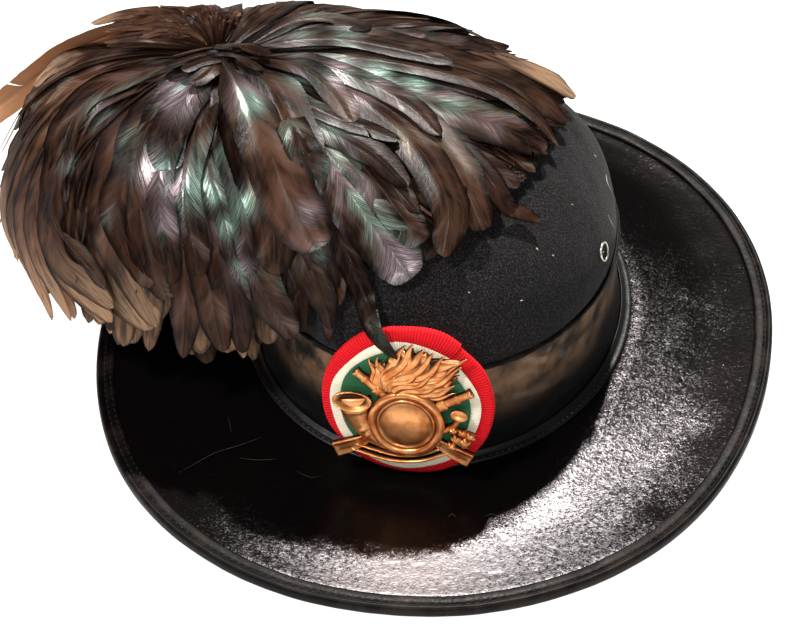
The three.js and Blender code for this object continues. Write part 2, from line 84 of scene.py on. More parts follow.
FOOT_HEIGHT = 4
BAND_HEIGHT = 46.7
BAND_THICKNESS = 1.2
PIPING_RADIUS = 1
WELT_WIDTH = 4.7
WELT_HEIGHT = 3
CROWN_WALL = 2.5
CROWN_HALF_WIDTH = 78
CROWN_HALF_LENGTH = 96
CROWN_CENTRE_Y = -8
CROWN_RISE = 54.5
CROWN_ROUNDNESS = 2.28

VENT_RADIUS = 4.4
VENT_WIRE = 0.7
VENT_Y = -33
VENT_HEIGHT = 70

COCKADE_PLACE = np.array([2.6, -107.6, 43.3])
COCKADE_LEAN = math.radians(7)
BADGE_UP = 2.8

BRIM_BOTTOM = BINDING_THICKNESS + GAP
BAND_FOOT = FOOT_HEIGHT + BRIM_THICKNESS + GAP
BAND_TOP = BAND_FOOT + BAND_HEIGHT
PIPING_HEIGHT = BAND_TOP + GAP + PIPING_RADIUS
CLOTH_FOOT = PIPING_HEIGHT + PIPING_RADIUS + GAP

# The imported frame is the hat's own frame, moved
binding_low, binding_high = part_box("brim_binding")
HAT_ORIGIN = np.array([
    binding_low[0] / MILLIMETRE + BRIM_HALF_WIDTH,
    binding_low[1] / MILLIMETRE + BRIM_FRONT - BRIM_CENTRE_Y,
    binding_low[2] / MILLIMETRE,
])

# The camera, in the hat's frame
CAMERA_PLACE = np.array([109.28, -805.44, 689.45])
CAMERA_TARGET = np.array([-9.67, -54.39, 40.0])
CAMERA_LENS = 104.8
SENSOR_WIDTH = 36.0
PICTURE_WIDTH = 800
PICTURE_HEIGHT = 636

# Direction to the key light, from the edge of the crown's shadow on the brim
KEY_DIRECTION = np.array([-0.044, 0.676, 1.0])


# Small helpers

def table(columns, *rows):
    """A table with named columns, as one array of numbers for each column."""
    return dict(zip(columns.split(), np.array(rows, dtype=float).T))


def unit(vectors):
    vectors = np.asarray(vectors, dtype=float)
    return vectors / np.maximum(np.linalg.norm(vectors, axis=-1, keepdims=True), 1e-9)


def all_round(count):
    """Angles at even steps once round, the first at 0."""
    return np.linspace(0, TURN, count, endpoint=False)


def curve(points, shares):
    """A smooth line through points, at shares of the way that count each stretch alike."""
    points = np.asarray(points, dtype=float)
    before = 2 * points[:1] - points[1:2]
    after = 2 * points[-1:] - points[-2:-1]
    padded = np.concatenate([before, points, after])
    place = np.asarray(shares, dtype=float) * (len(points) - 1)
    first = np.clip(place.astype(int), 0, len(points) - 2)
    t = (place - first)[:, None]
    a, b, c, d = (padded[first + k] for k in range(4))
    straight = 2 * b + (c - a) * t
    bent = (2 * a - 5 * b + 4 * c - d) * t**2 + (3 * b - a - 3 * c + d) * t**3
    return (straight + bent) / 2


def even_curve(points, count):
    """The same smooth line at equal distances, with the share of its length at each point."""
    fine = curve(points, np.linspace(0, 1, 160))
    steps = np.linalg.norm(np.diff(fine[:, :3], axis=0), axis=1)
    run = np.concatenate([[0], np.cumsum(steps)])
    at = np.linspace(0, run[-1], count)
    return np.stack([np.interp(at, run, fine[:, k]) for k in range(fine.shape[1])], axis=1)


def smooth_lookup(rows, key, value, at):
    """Reads a smooth line through two columns of a table."""
    line = curve(np.stack([rows[key], rows[value]], axis=1), np.linspace(0, 1, 200))
    return np.interp(at, line[:, 0], line[:, 1])


RIPPLE_WAVES = 9


def ripple(points, size, seed):
    """Soft seeded lumps about size millimetres across, from about -1 to 1."""
    draw = np.random.default_rng(seed)
    headings = unit(draw.normal(size=(RIPPLE_WAVES, 3))) * draw.uniform(0.6, 1.4, (RIPPLE_WAVES, 1))
    phases = draw.uniform(0, TURN, RIPPLE_WAVES)
    waves = np.sin(points @ headings.T * (TURN / size) + phases)
    return waves.sum(axis=-1) / math.sqrt(RIPPLE_WAVES)


def distance_to_line(points, line):
    """Distance from each point to a line of straight pieces."""
    best = np.full(points.shape[:-1], np.inf)
    for a, b in zip(line[:-1], line[1:]):
        run = b - a
        share = np.clip(((points - a) @ run) / max(run @ run, 1e-9), 0, 1)
        best = np.minimum(best, np.linalg.norm(points - (a + share[..., None] * run), axis=-1))
    return best


def bell_curve(distance, width):
    return np.exp(-((distance / width) ** 2))


# Ovals

Oval = namedtuple("Oval", "half_width front back centre_y squareness")

BRIM_EDGE = Oval(BRIM_HALF_WIDTH, BRIM_FRONT, BRIM_BACK, BRIM_CENTRE_Y, BRIM_SQUARENESS)

# Outer surface of the leather band, from its foot to its top edge
BAND_SECTIONS = table(
    "height half_width half_length centre_y",
    (0, 82, 105.5, 0),
    (10, 80.6, 102.4, -1.8),
    (24, 79.2, 99.4, -4.2),
    (BAND_HEIGHT, CROWN_HALF_WIDTH, CROWN_HALF_LENGTH, CROWN_CENTRE_Y),
)


def grown(oval, by):
    return oval._replace(
        half_width=oval.half_width + by, front=oval.front + by, back=oval.back + by
    )


def oval_ring(oval, angles, height):
    """Points of an oval whose front and back halves differ in length."""
    c = np.cos(angles)
    s = np.sin(angles)
    power = oval.squareness
    stretch = (np.abs(c) ** power + np.abs(s) ** power) ** (-1 / power)
    length = np.where(s < 0, oval.front, oval.back)
    x = oval.half_width * c * stretch
    y = oval.centre_y + length * s * stretch
    return np.stack([x, y, np.broadcast_to(height, x.shape)], axis=-1)


def even_oval(half_width, half_length, centre_y):
    """An oval that is as long in front of its middle as behind it."""
    return Oval(half_width, half_length, half_length, centre_y, 2)


def band_oval(height):
    return even_oval(*(
        float(np.interp(height, BAND_SECTIONS["height"], BAND_SECTIONS[key]))
        for key in ("half_width", "half_length", "centre_y")
    ))


FOOT_OVAL = band_oval(0)


def front_lift(angles):
    """The front of the brim curls up a little; the sides and the back stay flat."""
    share = np.clip((-np.sin(angles) - LIFT_START) / (1 - LIFT_START), 0, 1)
    return FRONT_LIFT * share**2 * (3 - 2 * share)


# Meshes

class Net:
    """Gathers grids of points, with values for each point, and makes one mesh of them."""

    def __init__(self):
        self.count = 0
        self.points = []
        self.quads = []
        self.values = {}

    def add(self, grid, around=False, closed=False, **values):
        """Adds a grid. Around joins its last column to its first, closed its last row likewise."""
        grid = np.asarray(grid, dtype=float)
        rows, columns = grid.shape[:2]
        index = np.arange(rows * columns).reshape(rows, columns) + self.count
        if closed:
            index = np.concatenate([index, index[:1]])
        if around:
            index = np.concatenate([index, index[:, :1]], axis=1)
        corners = [index[:-1, :-1], index[:-1, 1:], index[1:, 1:], index[1:, :-1]]
        self.quads.append(np.stack(corners, axis=-1).reshape(-1, 4))
        self.points.append(grid.reshape(-1, 3))
        for name, value in values.items():
            whole = np.broadcast_to(value, grid.shape[:2] + (4,))
            self.values.setdefault(name, []).append(whole.reshape(-1, 4))
        self.count += rows * columns

    def add_capped(self, grid, **values):
        """Adds a tube of rings and closes both ends on a middle point."""
        first = np.repeat(grid[:1].mean(axis=1, keepdims=True), grid.shape[1], axis=1)
        last = np.repeat(grid[-1:].mean(axis=1, keepdims=True), grid.shape[1], axis=1)
        for name, value in values.items():
            if np.ndim(value) == 3:
                values[name] = np.concatenate([value[:1], value, value[-1:]])
        self.add(np.concatenate([first, grid, last]), around=True, **values)

    def ray_tree(self):
        points = np.concatenate(self.points)
        quads = np.concatenate(self.quads)
        return BVHTree.FromPolygons(points.tolist(), quads.tolist())

    def make(self, name, material, node=None, slot=None, weld=True):
        """Makes the mesh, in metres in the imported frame, and lets it ride on the root body."""
        mesh = bpy.data.meshes.new(name)
        points = (np.concatenate(self.points) + HAT_ORIGIN) * MILLIMETRE
        mesh.from_pydata(points.tolist(), [], np.concatenate(self.quads).tolist())
        for key, parts in self.values.items():
            layer = mesh.attributes.new(key, "FLOAT_COLOR", "POINT")
            layer.data.foreach_set("color", np.concatenate(parts).astype("f4").ravel())
        if weld:
            work = bmesh.new()
            work.from_mesh(mesh)
            bmesh.ops.remove_doubles(work, verts=work.verts, dist=1e-7)
            bmesh.ops.recalc_face_normals(work, faces=work.faces)
            work.to_mesh(mesh)
            work.free()
        mesh.shade_smooth()
        mesh.materials.append(material)
        made = bpy.data.objects.new(name, mesh)
        bpy.context.scene.collection.objects.link(made)
        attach(made, "root")
        if node:
            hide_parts(*([node] if isinstance(node, str) else node))


def surface_normals(grid):
    """Unit normals of rings of points, by differences along and across the rings."""
    along = np.roll(grid, -1, axis=1) - np.roll(grid, 1, axis=1)
    return unit(np.cross(along, np.gradient(grid, axis=0)))


def one_value(values):
    """One value for each point, in the form that a mesh keeps."""
    return np.stack([values, values, values, np.ones_like(values)], axis=-1)


BEAD_RINGS = 3
BEAD_SIDES = 5
BEAD_END = 0.94
THREAD_SIDES = 6


def add_beads(net, centres, along, up, length, width, height):
    """Adds small closed lozenges, such as stitches, each lying along a direction on a surface."""
    side = unit(np.cross(up, along))
    shares = np.linspace(-BEAD_END, BEAD_END, BEAD_RINGS)[:, None, None]
    round_off = np.sqrt(1 - shares**2)
    turns = all_round(BEAD_SIDES)[:, None]
    for centre, ahead, across, above in zip(centres, along, side, up):
        ring = np.cos(turns) * across * width / 2 + np.sin(turns) * above * height
        net.add_capped(centre + shares * ahead * length / 2 + round_off * ring)


def add_stitches(net, ring_at, angles, pitch, size):
    """Adds stitches along a ring, given as the function that places angles on it."""
    steps = np.linalg.norm(np.diff(ring_at(angles), axis=0), axis=1)
    run = np.concatenate([[0], np.cumsum(steps)])
    at = np.interp(np.linspace(0, run[-1], int(run[-1] / pitch), endpoint=False), run, angles)
    centres = ring_at(at)
    along = unit(ring_at(at + 0.002) - centres)
    up = np.broadcast_to((0.0, 0.0, 1.0), centres.shape)
    add_beads(net, centres, along, up, *size)


def add_thread(net, line, up, radius):
    """Adds a thin closed thread along a line that lies on a surface."""
    ahead = unit(np.gradient(line, axis=0))
    side = unit(np.cross(up, ahead))
    turns = all_round(THREAD_SIDES)[None, :, None]
    ring = np.cos(turns) * side[:, None] + np.sin(turns) * up[:, None]
    thin = np.linspace(0, math.pi, len(line))[:, None, None]
    net.add_capped(line[:, None] + ring * radius * np.maximum(np.sin(thin), 0.3) ** 0.5)


# Camera, and the points where the sight line of a pixel meets a surface

sight = unit(CAMERA_TARGET - CAMERA_PLACE)
sight_right = unit(np.cross(sight, (0, 0, 1)))
sight_up = np.cross(sight_right, sight)
FOCAL_PIXELS = CAMERA_LENS / SENSOR_WIDTH * PICTURE_WIDTH


def sight_line(pixel_x, pixel_y):
    return unit(
        sight
        + sight_right * (pixel_x - PICTURE_WIDTH / 2) / FOCAL_PIXELS
        - sight_up * (pixel_y - PICTURE_HEIGHT / 2) / FOCAL_PIXELS
    )


def pixels_of(points):
    """The pixels at which points in the hat's frame are seen."""
    away = points - CAMERA_PLACE
    depth = away @ sight
    pixel_x = PICTURE_WIDTH / 2 + FOCAL_PIXELS * (away @ sight_right) / depth
    pixel_y = PICTURE_HEIGHT / 2 - FOCAL_PIXELS * (away @ sight_up) / depth
    return pixel_x, pixel_y


def pixel_points(tree, pixels):
    """Where the sight lines of pixels meet a surface, with its normals there."""
    places = []
    normals = []
    for pixel_x, pixel_y in pixels:
        hit, normal, _, _ = tree.ray_cast(Vector(CAMERA_PLACE), Vector(sight_line(pixel_x, pixel_y)))
        if hit is not None:
            places.append(hit)
            facing = np.array(normal)
            normals.append(facing if facing @ sight < 0 else -facing)
    return np.array(places), np.array(normals)


def make_camera():
    data = bpy.data.cameras.new("camera")
    data.lens = CAMERA_LENS
    data.sensor_width = SENSOR_WIDTH
    data.clip_start = 0.01
    data.clip_end = 20
    made = bpy.data.objects.new("camera", data)
    made.location = (CAMERA_PLACE + HAT_ORIGIN) * MILLIMETRE
    made.rotation_euler = Vector(sight).to_track_quat("-Z", "Y").to_euler()
    bpy.context.scene.collection.objects.link(made)
    bpy.context.scene.camera = made


# Materials

def paint(red, green, blue):
    """A screen colour, 0 to 255, as the linear colour that a shader takes."""
    def linear(value):
        share = value / 255
        return share / 12.92 if share <= 0.04045 else ((share + 0.055) / 1.055) ** 2.4
    return (linear(red), linear(green), linear(blue), 1.0)


class Shade:
    """Writes one material's nodes. Each call returns the socket that the next one takes."""

    def __init__(self, name):
        self.material = bpy.data.materials.new(name)
        self.material.use_nodes = True
        self.tree = self.material.node_tree
        self.tree.nodes.clear()
        self.place = self.node("TexCoord").outputs["Object"]

    def node(self, kind, inputs=None, **settings):
        made = self.tree.nodes.new("ShaderNode" + kind)
        for name, value in settings.items():
            setattr(made, name, value)
        for key, value in (inputs or {}).items():
            if isinstance(value, bpy.types.NodeSocket):
                self.tree.links.new(value, made.inputs[key])
            else:
                made.inputs[key].default_value = value
        return made

    def math(self, operation, a, b=0.0, clamp=False):
        return self.node("Math", {0: a, 1: b}, operation=operation, use_clamp=clamp).outputs[0]

    def times(self, a, b):
        return self.math("MULTIPLY", a, b)

    def noise(self, size, detail=2.0, roughness=0.5, place=None, distortion=0.0):
        """Noise from 0 to 1 whose lumps are about size millimetres across."""
        inputs = {
            "Vector": place or self.place,
            "Scale": 1 / (size * MILLIMETRE),
            "Detail": detail,
            "Roughness": roughness,
            "Distortion": distortion,
        }
        return self.node("TexNoise", inputs).outputs["Fac"]

    def between(self, value, low, high, to_low=0.0, to_high=1.0):
        """Maps the range from low to high softly onto another range."""
        inputs = {0: value, 1: low, 2: high, 3: to_low, 4: to_high}
        return self.node("MapRange", inputs, interpolation_type="SMOOTHSTEP").outputs[0]

    def mix(self, share, a, b):
        return self.node("Mix", {0: share, 6: a, 7: b}, data_type="RGBA").outputs[2]

    def bump(self, height, depth, normal=None):
        """Raises the surface by depth millimetres where height is 1."""
        inputs = {"Height": height, "Distance": depth * MILLIMETRE, "Strength": 1.0}
        if normal is not None:
            inputs["Normal"] = normal
        return self.node("Bump", inputs).outputs[0]

    def attribute(self, name):
        """Red, green, blue and alpha of a mesh's values."""
        read = self.node("Attribute", attribute_name=name)
        parts = self.node("SeparateColor", {"Color": read.outputs["Color"]})
        return parts.outputs[0], parts.outputs[1], parts.outputs[2], read.outputs["Alpha"]

    def axes(self):
        return self.node("SeparateXYZ", {0: self.place}).outputs

    def point(self, x, y, z):
        return self.node("CombineXYZ", {0: x, 1: y, 2: z}).outputs[0]

    def surface(self, **inputs):
        """Ends the material with the main shader, whose sockets are given by their names."""
        named = {key.replace("_", " "): value for key, value in inputs.items()}
        shader = self.node("BsdfPrincipled", named)
        return self.finish(shader.outputs[0])

    def finish(self, shader):
        self.node("OutputMaterial", {0: shader})
        return self.material


def make_brim_leather():
    """Black waxed leather. Where it is worn, its fine grain has lost the wax and glitters grey;
    elsewhere it is smooth and nearly black, with reflections as weak as those of a dark metal.
    The worn grey is partly painted light: none in the crown's cast shadow, most under the highlight."""
    shade = Shade("brim_leather")
    # The worn value is wear and painted light together: it is held out of the crown's cast shadow and is
    # strongest where the key light's highlight falls.
    worn, _, _, _ = shade.attribute("detail")
    grain = shade.noise(1.0, 2.0, 0.75)
    clumps = shade.noise(2.3, 3.0, 0.7, distortion=0.6)
    clouds = shade.noise(24, 4, 0.6)
    wrinkles = shade.noise(3.4, 4.0, 0.65, distortion=1.2)
    cover = shade.math("ADD", shade.times(grain, 0.58), shade.times(clumps, 0.42))
    level = shade.math("ADD", shade.times(worn, 0.36), shade.times(clouds, 0.12))
    specks = shade.between(shade.math("ADD", cover, level), 0.6, 1.0)
    colour = shade.mix(specks, paint(22, 19, 19), paint(50, 47, 49))
    rough = shade.mix(specks, (0.16, 0.16, 0.16, 1), (0.38, 0.38, 0.38, 1))
    glow = shade.mix(specks, (0.014, 0.014, 0.015, 1), (1.0, 0.95, 0.98, 1))
    creased = shade.times(wrinkles, shade.between(worn, 0.3, 1.0, 0.25, 1.0))
    normal = shade.bump(creased, 0.2)
    normal = shade.bump(clumps, 0.05, normal)
    normal = shade.bump(grain, 0.065, normal)
    return shade.surface(
        Base_Color=colour, Roughness=rough, Normal=normal, Specular_IOR_Level=1.0, IOR=1.65,
        Specular_Tint=glow, Metallic=shade.between(specks, 0.0, 1.0, 0.68, 0.0),
    )


def make_binding_leather():
    """Brown-black leather, rubbed paler and glossy on the roll."""
    shade = Shade("binding_leather")
    rubbed = shade.between(shade.noise(14, 4, 0.6), 0.42, 0.66)
    grain = shade.noise(1.1, 3.0, 0.6)
    colour = shade.mix(rubbed, paint(10, 8, 8), paint(34, 27, 23))
    rough = shade.between(grain, 0.3, 0.7, 0.36, 0.52)
    normal = shade.bump(shade.noise(4, 3), 0.06)
    normal = shade.bump(grain, 0.05, normal)
    return shade.surface(
        Base_Color=colour, Roughness=rough, Normal=normal, Specular_IOR_Level=0.09
    )


def make_band_leather():
    """Smooth thin leather, with a painted warm-brown reflection towards its top edge."""
    shade = Shade("band_leather")
    height = shade.axes()[2]
    top = BAND_TOP * MILLIMETRE
    # Painted reflection: a warm brown sheen in cloudy patches near the top edge.
    painted_sheen = shade.between(height, top - 0.034, top - 0.01)
    cloudy = shade.between(shade.noise(16, 4, 0.6), 0.3, 0.66)
    share = shade.times(painted_sheen, cloudy)
    colour = shade.mix(share, paint(12, 11, 11), paint(138, 108, 82))
    grain = shade.noise(1.0, 3, 0.6)
    rough = shade.between(grain, 0.3, 0.7, 0.3, 0.46)
    normal = shade.bump(shade.noise(6, 3), 0.3)
    normal = shade.bump(grain, 0.09, normal)
    return shade.surface(Base_Color=colour, Roughness=rough, Normal=normal)


def make_cloth():
    """Milled black wool, matt, with a fine grey nap and flecks of lint."""
    shade = Shade("crown_cloth")
    nap = shade.noise(0.7, 3, 0.7)
    clump = shade.noise(3.2, 3, 0.6)
    flecks = shade.between(shade.noise(0.9, 1, 0.5), 0.71, 0.8)
    colour = shade.mix(shade.between(nap, 0.46, 0.72), paint(10, 9, 10), paint(62, 58, 59))
    colour = shade.mix(shade.times(flecks, 0.4), colour, paint(96, 90, 84))
    normal = shade.bump(clump, 0.35)
    normal = shade.bump(nap, 0.3, normal)
    return shade.surface(
        Base_Color=colour,
        Roughness=0.95,
        Normal=normal,
        Specular_IOR_Level=0.2,
        Sheen_Weight=0.06,
        Sheen_Roughness=0.4,
    )


def make_ribbon(name, base, pale, dirt, pitch):
    """Grosgrain ribbon: fine ridges across it, dirty patches and a painted highlight on the crests."""
    shade = Shade(name)
    across, _, ridge, _ = shade.attribute("detail")
    patches = shade.between(shade.noise(7, 3, 0.6), 0.45, 0.7)
    threads = shade.noise(pitch, 2, 0.6)
    colour = shade.mix(shade.times(patches, 0.35), base, dirt)
    # Painted highlight: the ridges' crests are paler, more so towards the ring's edge.
    crest_highlight = shade.times(ridge, shade.between(across, 0.7, 1.0, 0.35, 0.8))
    colour = shade.mix(crest_highlight, colour, pale)
    normal = shade.bump(threads, 0.12)
    return shade.surface(
        Base_Color=colour, Roughness=0.85, Normal=normal, Specular_IOR_Level=0.15
    )


def make_brass():
    """Struck copper-coloured brass, darkened in its hollows and rubbed bright on its heights."""
    shade = Shade("badge_brass")
    height, _, _, _ = shade.attribute("detail")
    tarnish = shade.between(shade.noise(6, 2), 0.35, 0.7)
    bright = shade.mix(tarnish, paint(246, 172, 110), paint(206, 118, 60))
    raised = shade.between(height, 0.25, 0.9)
    colour = shade.mix(raised, paint(62, 34, 20), bright)
    rough = shade.between(shade.noise(3, 2), 0.3, 0.7, 0.31, 0.4)
    normal = shade.bump(shade.noise(2.4, 2), 0.012)
    return shade.surface(Base_Color=colour, Metallic=0.85, Roughness=rough, Normal=normal)


def make_nickel():
    shade = Shade("vent_nickel")
    dull = shade.between(shade.noise(2, 3), 0.4, 0.7)
    colour = shade.mix(dull, paint(225, 220, 210), paint(150, 140, 128))
    return shade.surface(Base_Color=colour, Metallic=0.9, Roughness=0.35)


def make_plain(name, colour, roughness, size):
    """A dyed thread or fibre with slight changes of tone along it."""
    shade = Shade(name)
    tone = shade.noise(size, 2)
    darker = tuple(0.6 * value for value in colour[:3]) + (1.0,)
    mixed = shade.mix(tone, darker, colour)
    normal = shade.bump(shade.noise(0.4, 1), 0.05)
    return shade.surface(Base_Color=mixed, Roughness=roughness, Normal=normal)


# Brim

BRIM_STEPS = 540
BRIM_ROWS = 46
BRIM_LOWEST = 0.1
MARK_POINTS = 12

# Height of the brim's top between the welt, at share 0, and the binding, at share 1
BRIM_SLOPE = table(
    "share height",
    (0, 6.0),
    (0.08, 5.9),
    (0.3, 4.4),
    (0.6, 2.9),
    (0.85, 2.9),
    (1, 3.3),
)
AFTER_WELT = grown(FOOT_OVAL, WELT_WIDTH + 2)
BEFORE_BINDING = grown(BRIM_EDGE, -(BINDING_WIDTH + 1))
HOLE_OVAL = grown(FOOT_OVAL, -(BAND_THICKNESS + GAP + CROWN_WALL))
SHEET_EDGE = grown(BRIM_EDGE, -(BINDING_THICKNESS + 2 * GAP))

# Creases and cracks pressed into the brim: their line in pixels, depth and half width
BRIM_CREASES = [
    {"pixels": [(497, 533), (515, 553), (537, 572)], "depth": 0.3, "half": 0.5},
    {"pixels": [(468, 573), (476, 570), (484, 574), (495, 575), (505, 570)], "depth": 0.25, "half": 0.5},
    {"pixels": [(552, 545), (556, 552), (554, 560), (560, 570)], "depth": 0.25, "half": 0.5},
    {"pixels": [(600, 566), (608, 556), (618, 551), (640, 536)], "depth": 0.2, "half": 0.5},
    {"pixels": [(380, 560), (390, 566), (402, 564), (430, 568)], "depth": 0.2, "half": 0.5},
    {"pixels": [(262, 521), (280, 534), (300, 538), (331, 549)], "depth": 0.2, "half": 0.5},
    {"pixels": [(154, 488), (207, 457), (217, 452), (264, 436)], "depth": 0.3, "half": 0.45},
    {"pixels": [(240, 458), (278, 460)], "depth": 0.25, "half": 0.4},
]

# Where the wear starts and how far it reaches out from the band, as shares of the brim, and how
# strong it is. The start follows the edge of the crown's cast shadow and the strength follows the
# key light's highlight, so the wear is partly painted shadow and painted highlight.
BRIM_WEAR_AND_SHADE = table(
    "bearing start reach strength",
    (-180, 0.3, 0.3, 0.1),
    (-150, 0.7, 0.9, 0.1),
    (-125, 0.8, 1.3, 0.2),
    (-105, 0.8, 1.9, 0.65),
    (-85, 0.78, 2.0, 1.15),
    (-65, 0.6, 1.9, 0.85),
    (-45, 0.3, 1.5, 0.58),
    (-25, 0.1, 1.15, 0.52),
    (0, 0.0, 1.0, 0.52),
    (18, 0.0, 0.85, 0.42),
    (35, 0.0, 0.6, 0.2),
    (55, 0.0, 0.3, 0.05),
    (180, 0.3, 0.3, 0.05),
)
WEAR_AND_SHADE_FADE_IN = 0.25


def brim_wear_and_shade(grid, angles, shares):
    """How worn the brim's top is at each point, from 0 to 1: wear with painted shadow and highlight."""
    bearing = (np.degrees(angles) + 180) % 360 - 180
    start, reach, strength = (
        np.interp(bearing, BRIM_WEAR_AND_SHADE["bearing"], BRIM_WEAR_AND_SHADE[key])
        for key in ("start", "reach", "strength")
    )
    share = np.asarray(shares)[:, None]
    uneven = reach * (1 + 0.08 * ripple(grid, 50, 51) + 0.06 * ripple(grid, 18, 52))
    edge = np.clip((uneven - share) / 0.75, 0, 1)
    inside = np.clip((share - start) / WEAR_AND_SHADE_FADE_IN + 1, 0, 1)
    return strength * edge**2 * (3 - 2 * edge) * inside**2 * (3 - 2 * inside)


def brim_top(angles, shares):
    """Points of the brim's top surface, a row for each share."""
    inner = oval_ring(AFTER_WELT, angles, 0.0)
    outer = oval_ring(BEFORE_BINDING, angles, 0.0)
    share = np.asarray(shares)[:, None, None]
    grid = inner * (1 - share) + outer * share
    rise = smooth_lookup(BRIM_SLOPE, "share", "height", shares)[:, None]
    lift = np.asarray(shares)[:, None] ** 1.5 * front_lift(angles)
    settle = np.sin(np.pi * np.clip(shares, 0, 1))[:, None]
    wave = settle * (0.3 * ripple(grid, 120, 3) + 0.12 * ripple(grid, 34, 4))
    grid[..., 2] = rise + lift + wave
    return grid


def mark(points, tree, row):
    """How near points are to a line of pixels on a surface: 1 on the line, and 0 far from it."""
    places, _ = pixel_points(tree, row["pixels"])
    if len(places) < 2:
        return np.zeros(points.shape[:-1])
    line = even_curve(places, MARK_POINTS)
    return bell_curve(distance_to_line(points, line), row["half"])


def make_brim(material):
    angles = all_round(BRIM_STEPS)
    shares = np.linspace(0, 1, BRIM_ROWS)
    top = brim_top(angles, shares)
    plain = Net()
    plain.add(top, around=True)
    tree = plain.ray_tree()
    for crease in BRIM_CREASES:
        top[..., 2] -= crease["depth"] * mark(top, tree, crease)
    hole = oval_ring(HOLE_OVAL, angles, FOOT_HEIGHT + BRIM_THICKNESS)
    edge = oval_ring(SHEET_EDGE, angles, BRIM_BOTTOM + BRIM_THICKNESS + front_lift(angles))
    over = np.concatenate([hole[None], top, edge[None]])
    under = np.concatenate([hole[None], top[::5], edge[None]])[::-1].copy()
    under[..., 2] -= BRIM_THICKNESS
    under[..., 2] = np.maximum(under[..., 2], BRIM_LOWEST)
    whole = np.concatenate([over, under])
    worn = np.zeros(whole.shape[:2])
    # Wear, with painted shadow and highlight, on the brim's top rows.
    worn[1:len(top) + 1] = brim_wear_and_shade(top, angles, shares)
    net = Net()
    net.add(whole, around=True, closed=True, detail=one_value(worn))
    net.make("brim_leather_sheet", material, "brim", "leather")
    return tree


# Binding

BINDING_STEPS = 480

# Section of the folded strip: inset from the brim's outline, and height. It runs over the roll at
# the edge, across a groove and the flat strip, and back along the inside of the fold.
BINDING_SECTION = table(
    "inset height",
    (8.0, 0.0),
    (1.1, 0.0),
    (0.5, 0.25),
    (0.1, 0.9),
    (0.0, 1.8),
    (0.0, 3.0),
    (0.15, 3.9),
    (0.55, 4.6),
    (1.2, 5.0),
    (1.9, 5.0),
    (2.5, 4.7),
    (2.9, 4.25),
    (3.15, 4.1),
    (3.4, 4.2),
    (3.8, 4.5),
    (4.6, 4.65),
    (5.6, 4.65),
    (6.6, 4.6),
    (7.4, 4.5),
    (7.8, 4.3),
    (7.95, 3.9),
    (8.0, 3.45),
    (1.4, 3.45),
    (1.3, 3.2),
    (1.3, 1.2),
    (1.4, 1.0),
    (8.0, 1.0),
)
STITCH_ROWS = table("inset height", (3.75, 4.5), (6.3, 4.62))
STITCH_PITCH = 3.6
STITCH_SIZE = (2.0, 0.42, 0.3)


def binding_ring(inset, height, angles):
    return oval_ring(grown(BRIM_EDGE, -inset), angles, height + front_lift(angles))


def make_binding(material, thread):
    angles = all_round(BINDING_STEPS)
    grid = np.stack([binding_ring(*row, angles) for row in zip(*BINDING_SECTION.values())])
    upper = grid[..., 2] > 2
    uneven = 0.05 * ripple(grid, 9, 11) + 0.12 * ripple(grid, 30, 12)
    grid[..., 2] += np.where(upper, uneven, 0)
    grid[..., 2] = np.maximum(grid[..., 2], 0)
    net = Net()
    net.add(grid, around=True, closed=True)
    net.make("brim_binding_strip", material, "brim_binding", "leather")
    stitches = Net()
    for inset, height in zip(*STITCH_ROWS.values()):
        ring_at = partial(binding_ring, inset, height)
        add_stitches(stitches, ring_at, angles, STITCH_PITCH, STITCH_SIZE)
    stitches.make("binding_stitches", thread, slot="leather")


# Crown

CROWN_STEPS = 240
DOME_ROWS = 56


def dome_width(rise):
    """Width of the dome at a share of its height, as a share of the width at its foot."""
    return (1 - rise**CROWN_ROUNDNESS) ** (1 / CROWN_ROUNDNESS)


def dome_ring(rise, angles, inset):
    narrow = dome_width(rise)
    oval = even_oval(
        (CROWN_HALF_WIDTH - inset) * narrow, (CROWN_HALF_LENGTH - inset) * narrow, CROWN_CENTRE_Y
    )
    return oval_ring(oval, angles, CLOTH_FOOT + (CROWN_RISE - inset) * rise)


def crown_rings(angles, inset):
    behind = BAND_THICKNESS + GAP + inset
    rings = [
        oval_ring(grown(band_oval(height), -behind), angles, BAND_FOOT + height)
        for height in np.linspace(0, BAND_HEIGHT, 12)
    ]
    rises = np.sin(np.linspace(0, 0.998, DOME_ROWS) * math.pi / 2)
    rings += [dome_ring(rise, angles, inset) for rise in rises]
    return np.stack(rings)


def make_crown(material):
    angles = all_round(CROWN_STEPS)
    outer = crown_rings(angles, 0)
    normals = surface_normals(outer)
    height = np.clip((outer[..., 2] - CLOTH_FOOT) / 12, 0, 1)
    lumps = height * (0.35 * ripple(outer, 46, 21) + 0.12 * ripple(outer, 15, 22))
    outer = outer + normals * lumps[..., None]
    inner = crown_rings(angles, CROWN_WALL)[::-1]
    tip = outer[-1:].mean(axis=1, keepdims=True).repeat(CROWN_STEPS, axis=1)
    inner_tip = inner[:1].mean(axis=1, keepdims=True).repeat(CROWN_STEPS, axis=1)
    net = Net()
    net.add(np.concatenate([outer, tip]), around=True)
    net.add(np.concatenate([inner_tip, inner, outer[:1]]), around=True)
    tree = net.ray_tree()
    net.make("crown_cloth_shell", material, "crown", "cloth")
    return tree


# Band

BAND_STEPS = 400
BAND_ROWS = 44

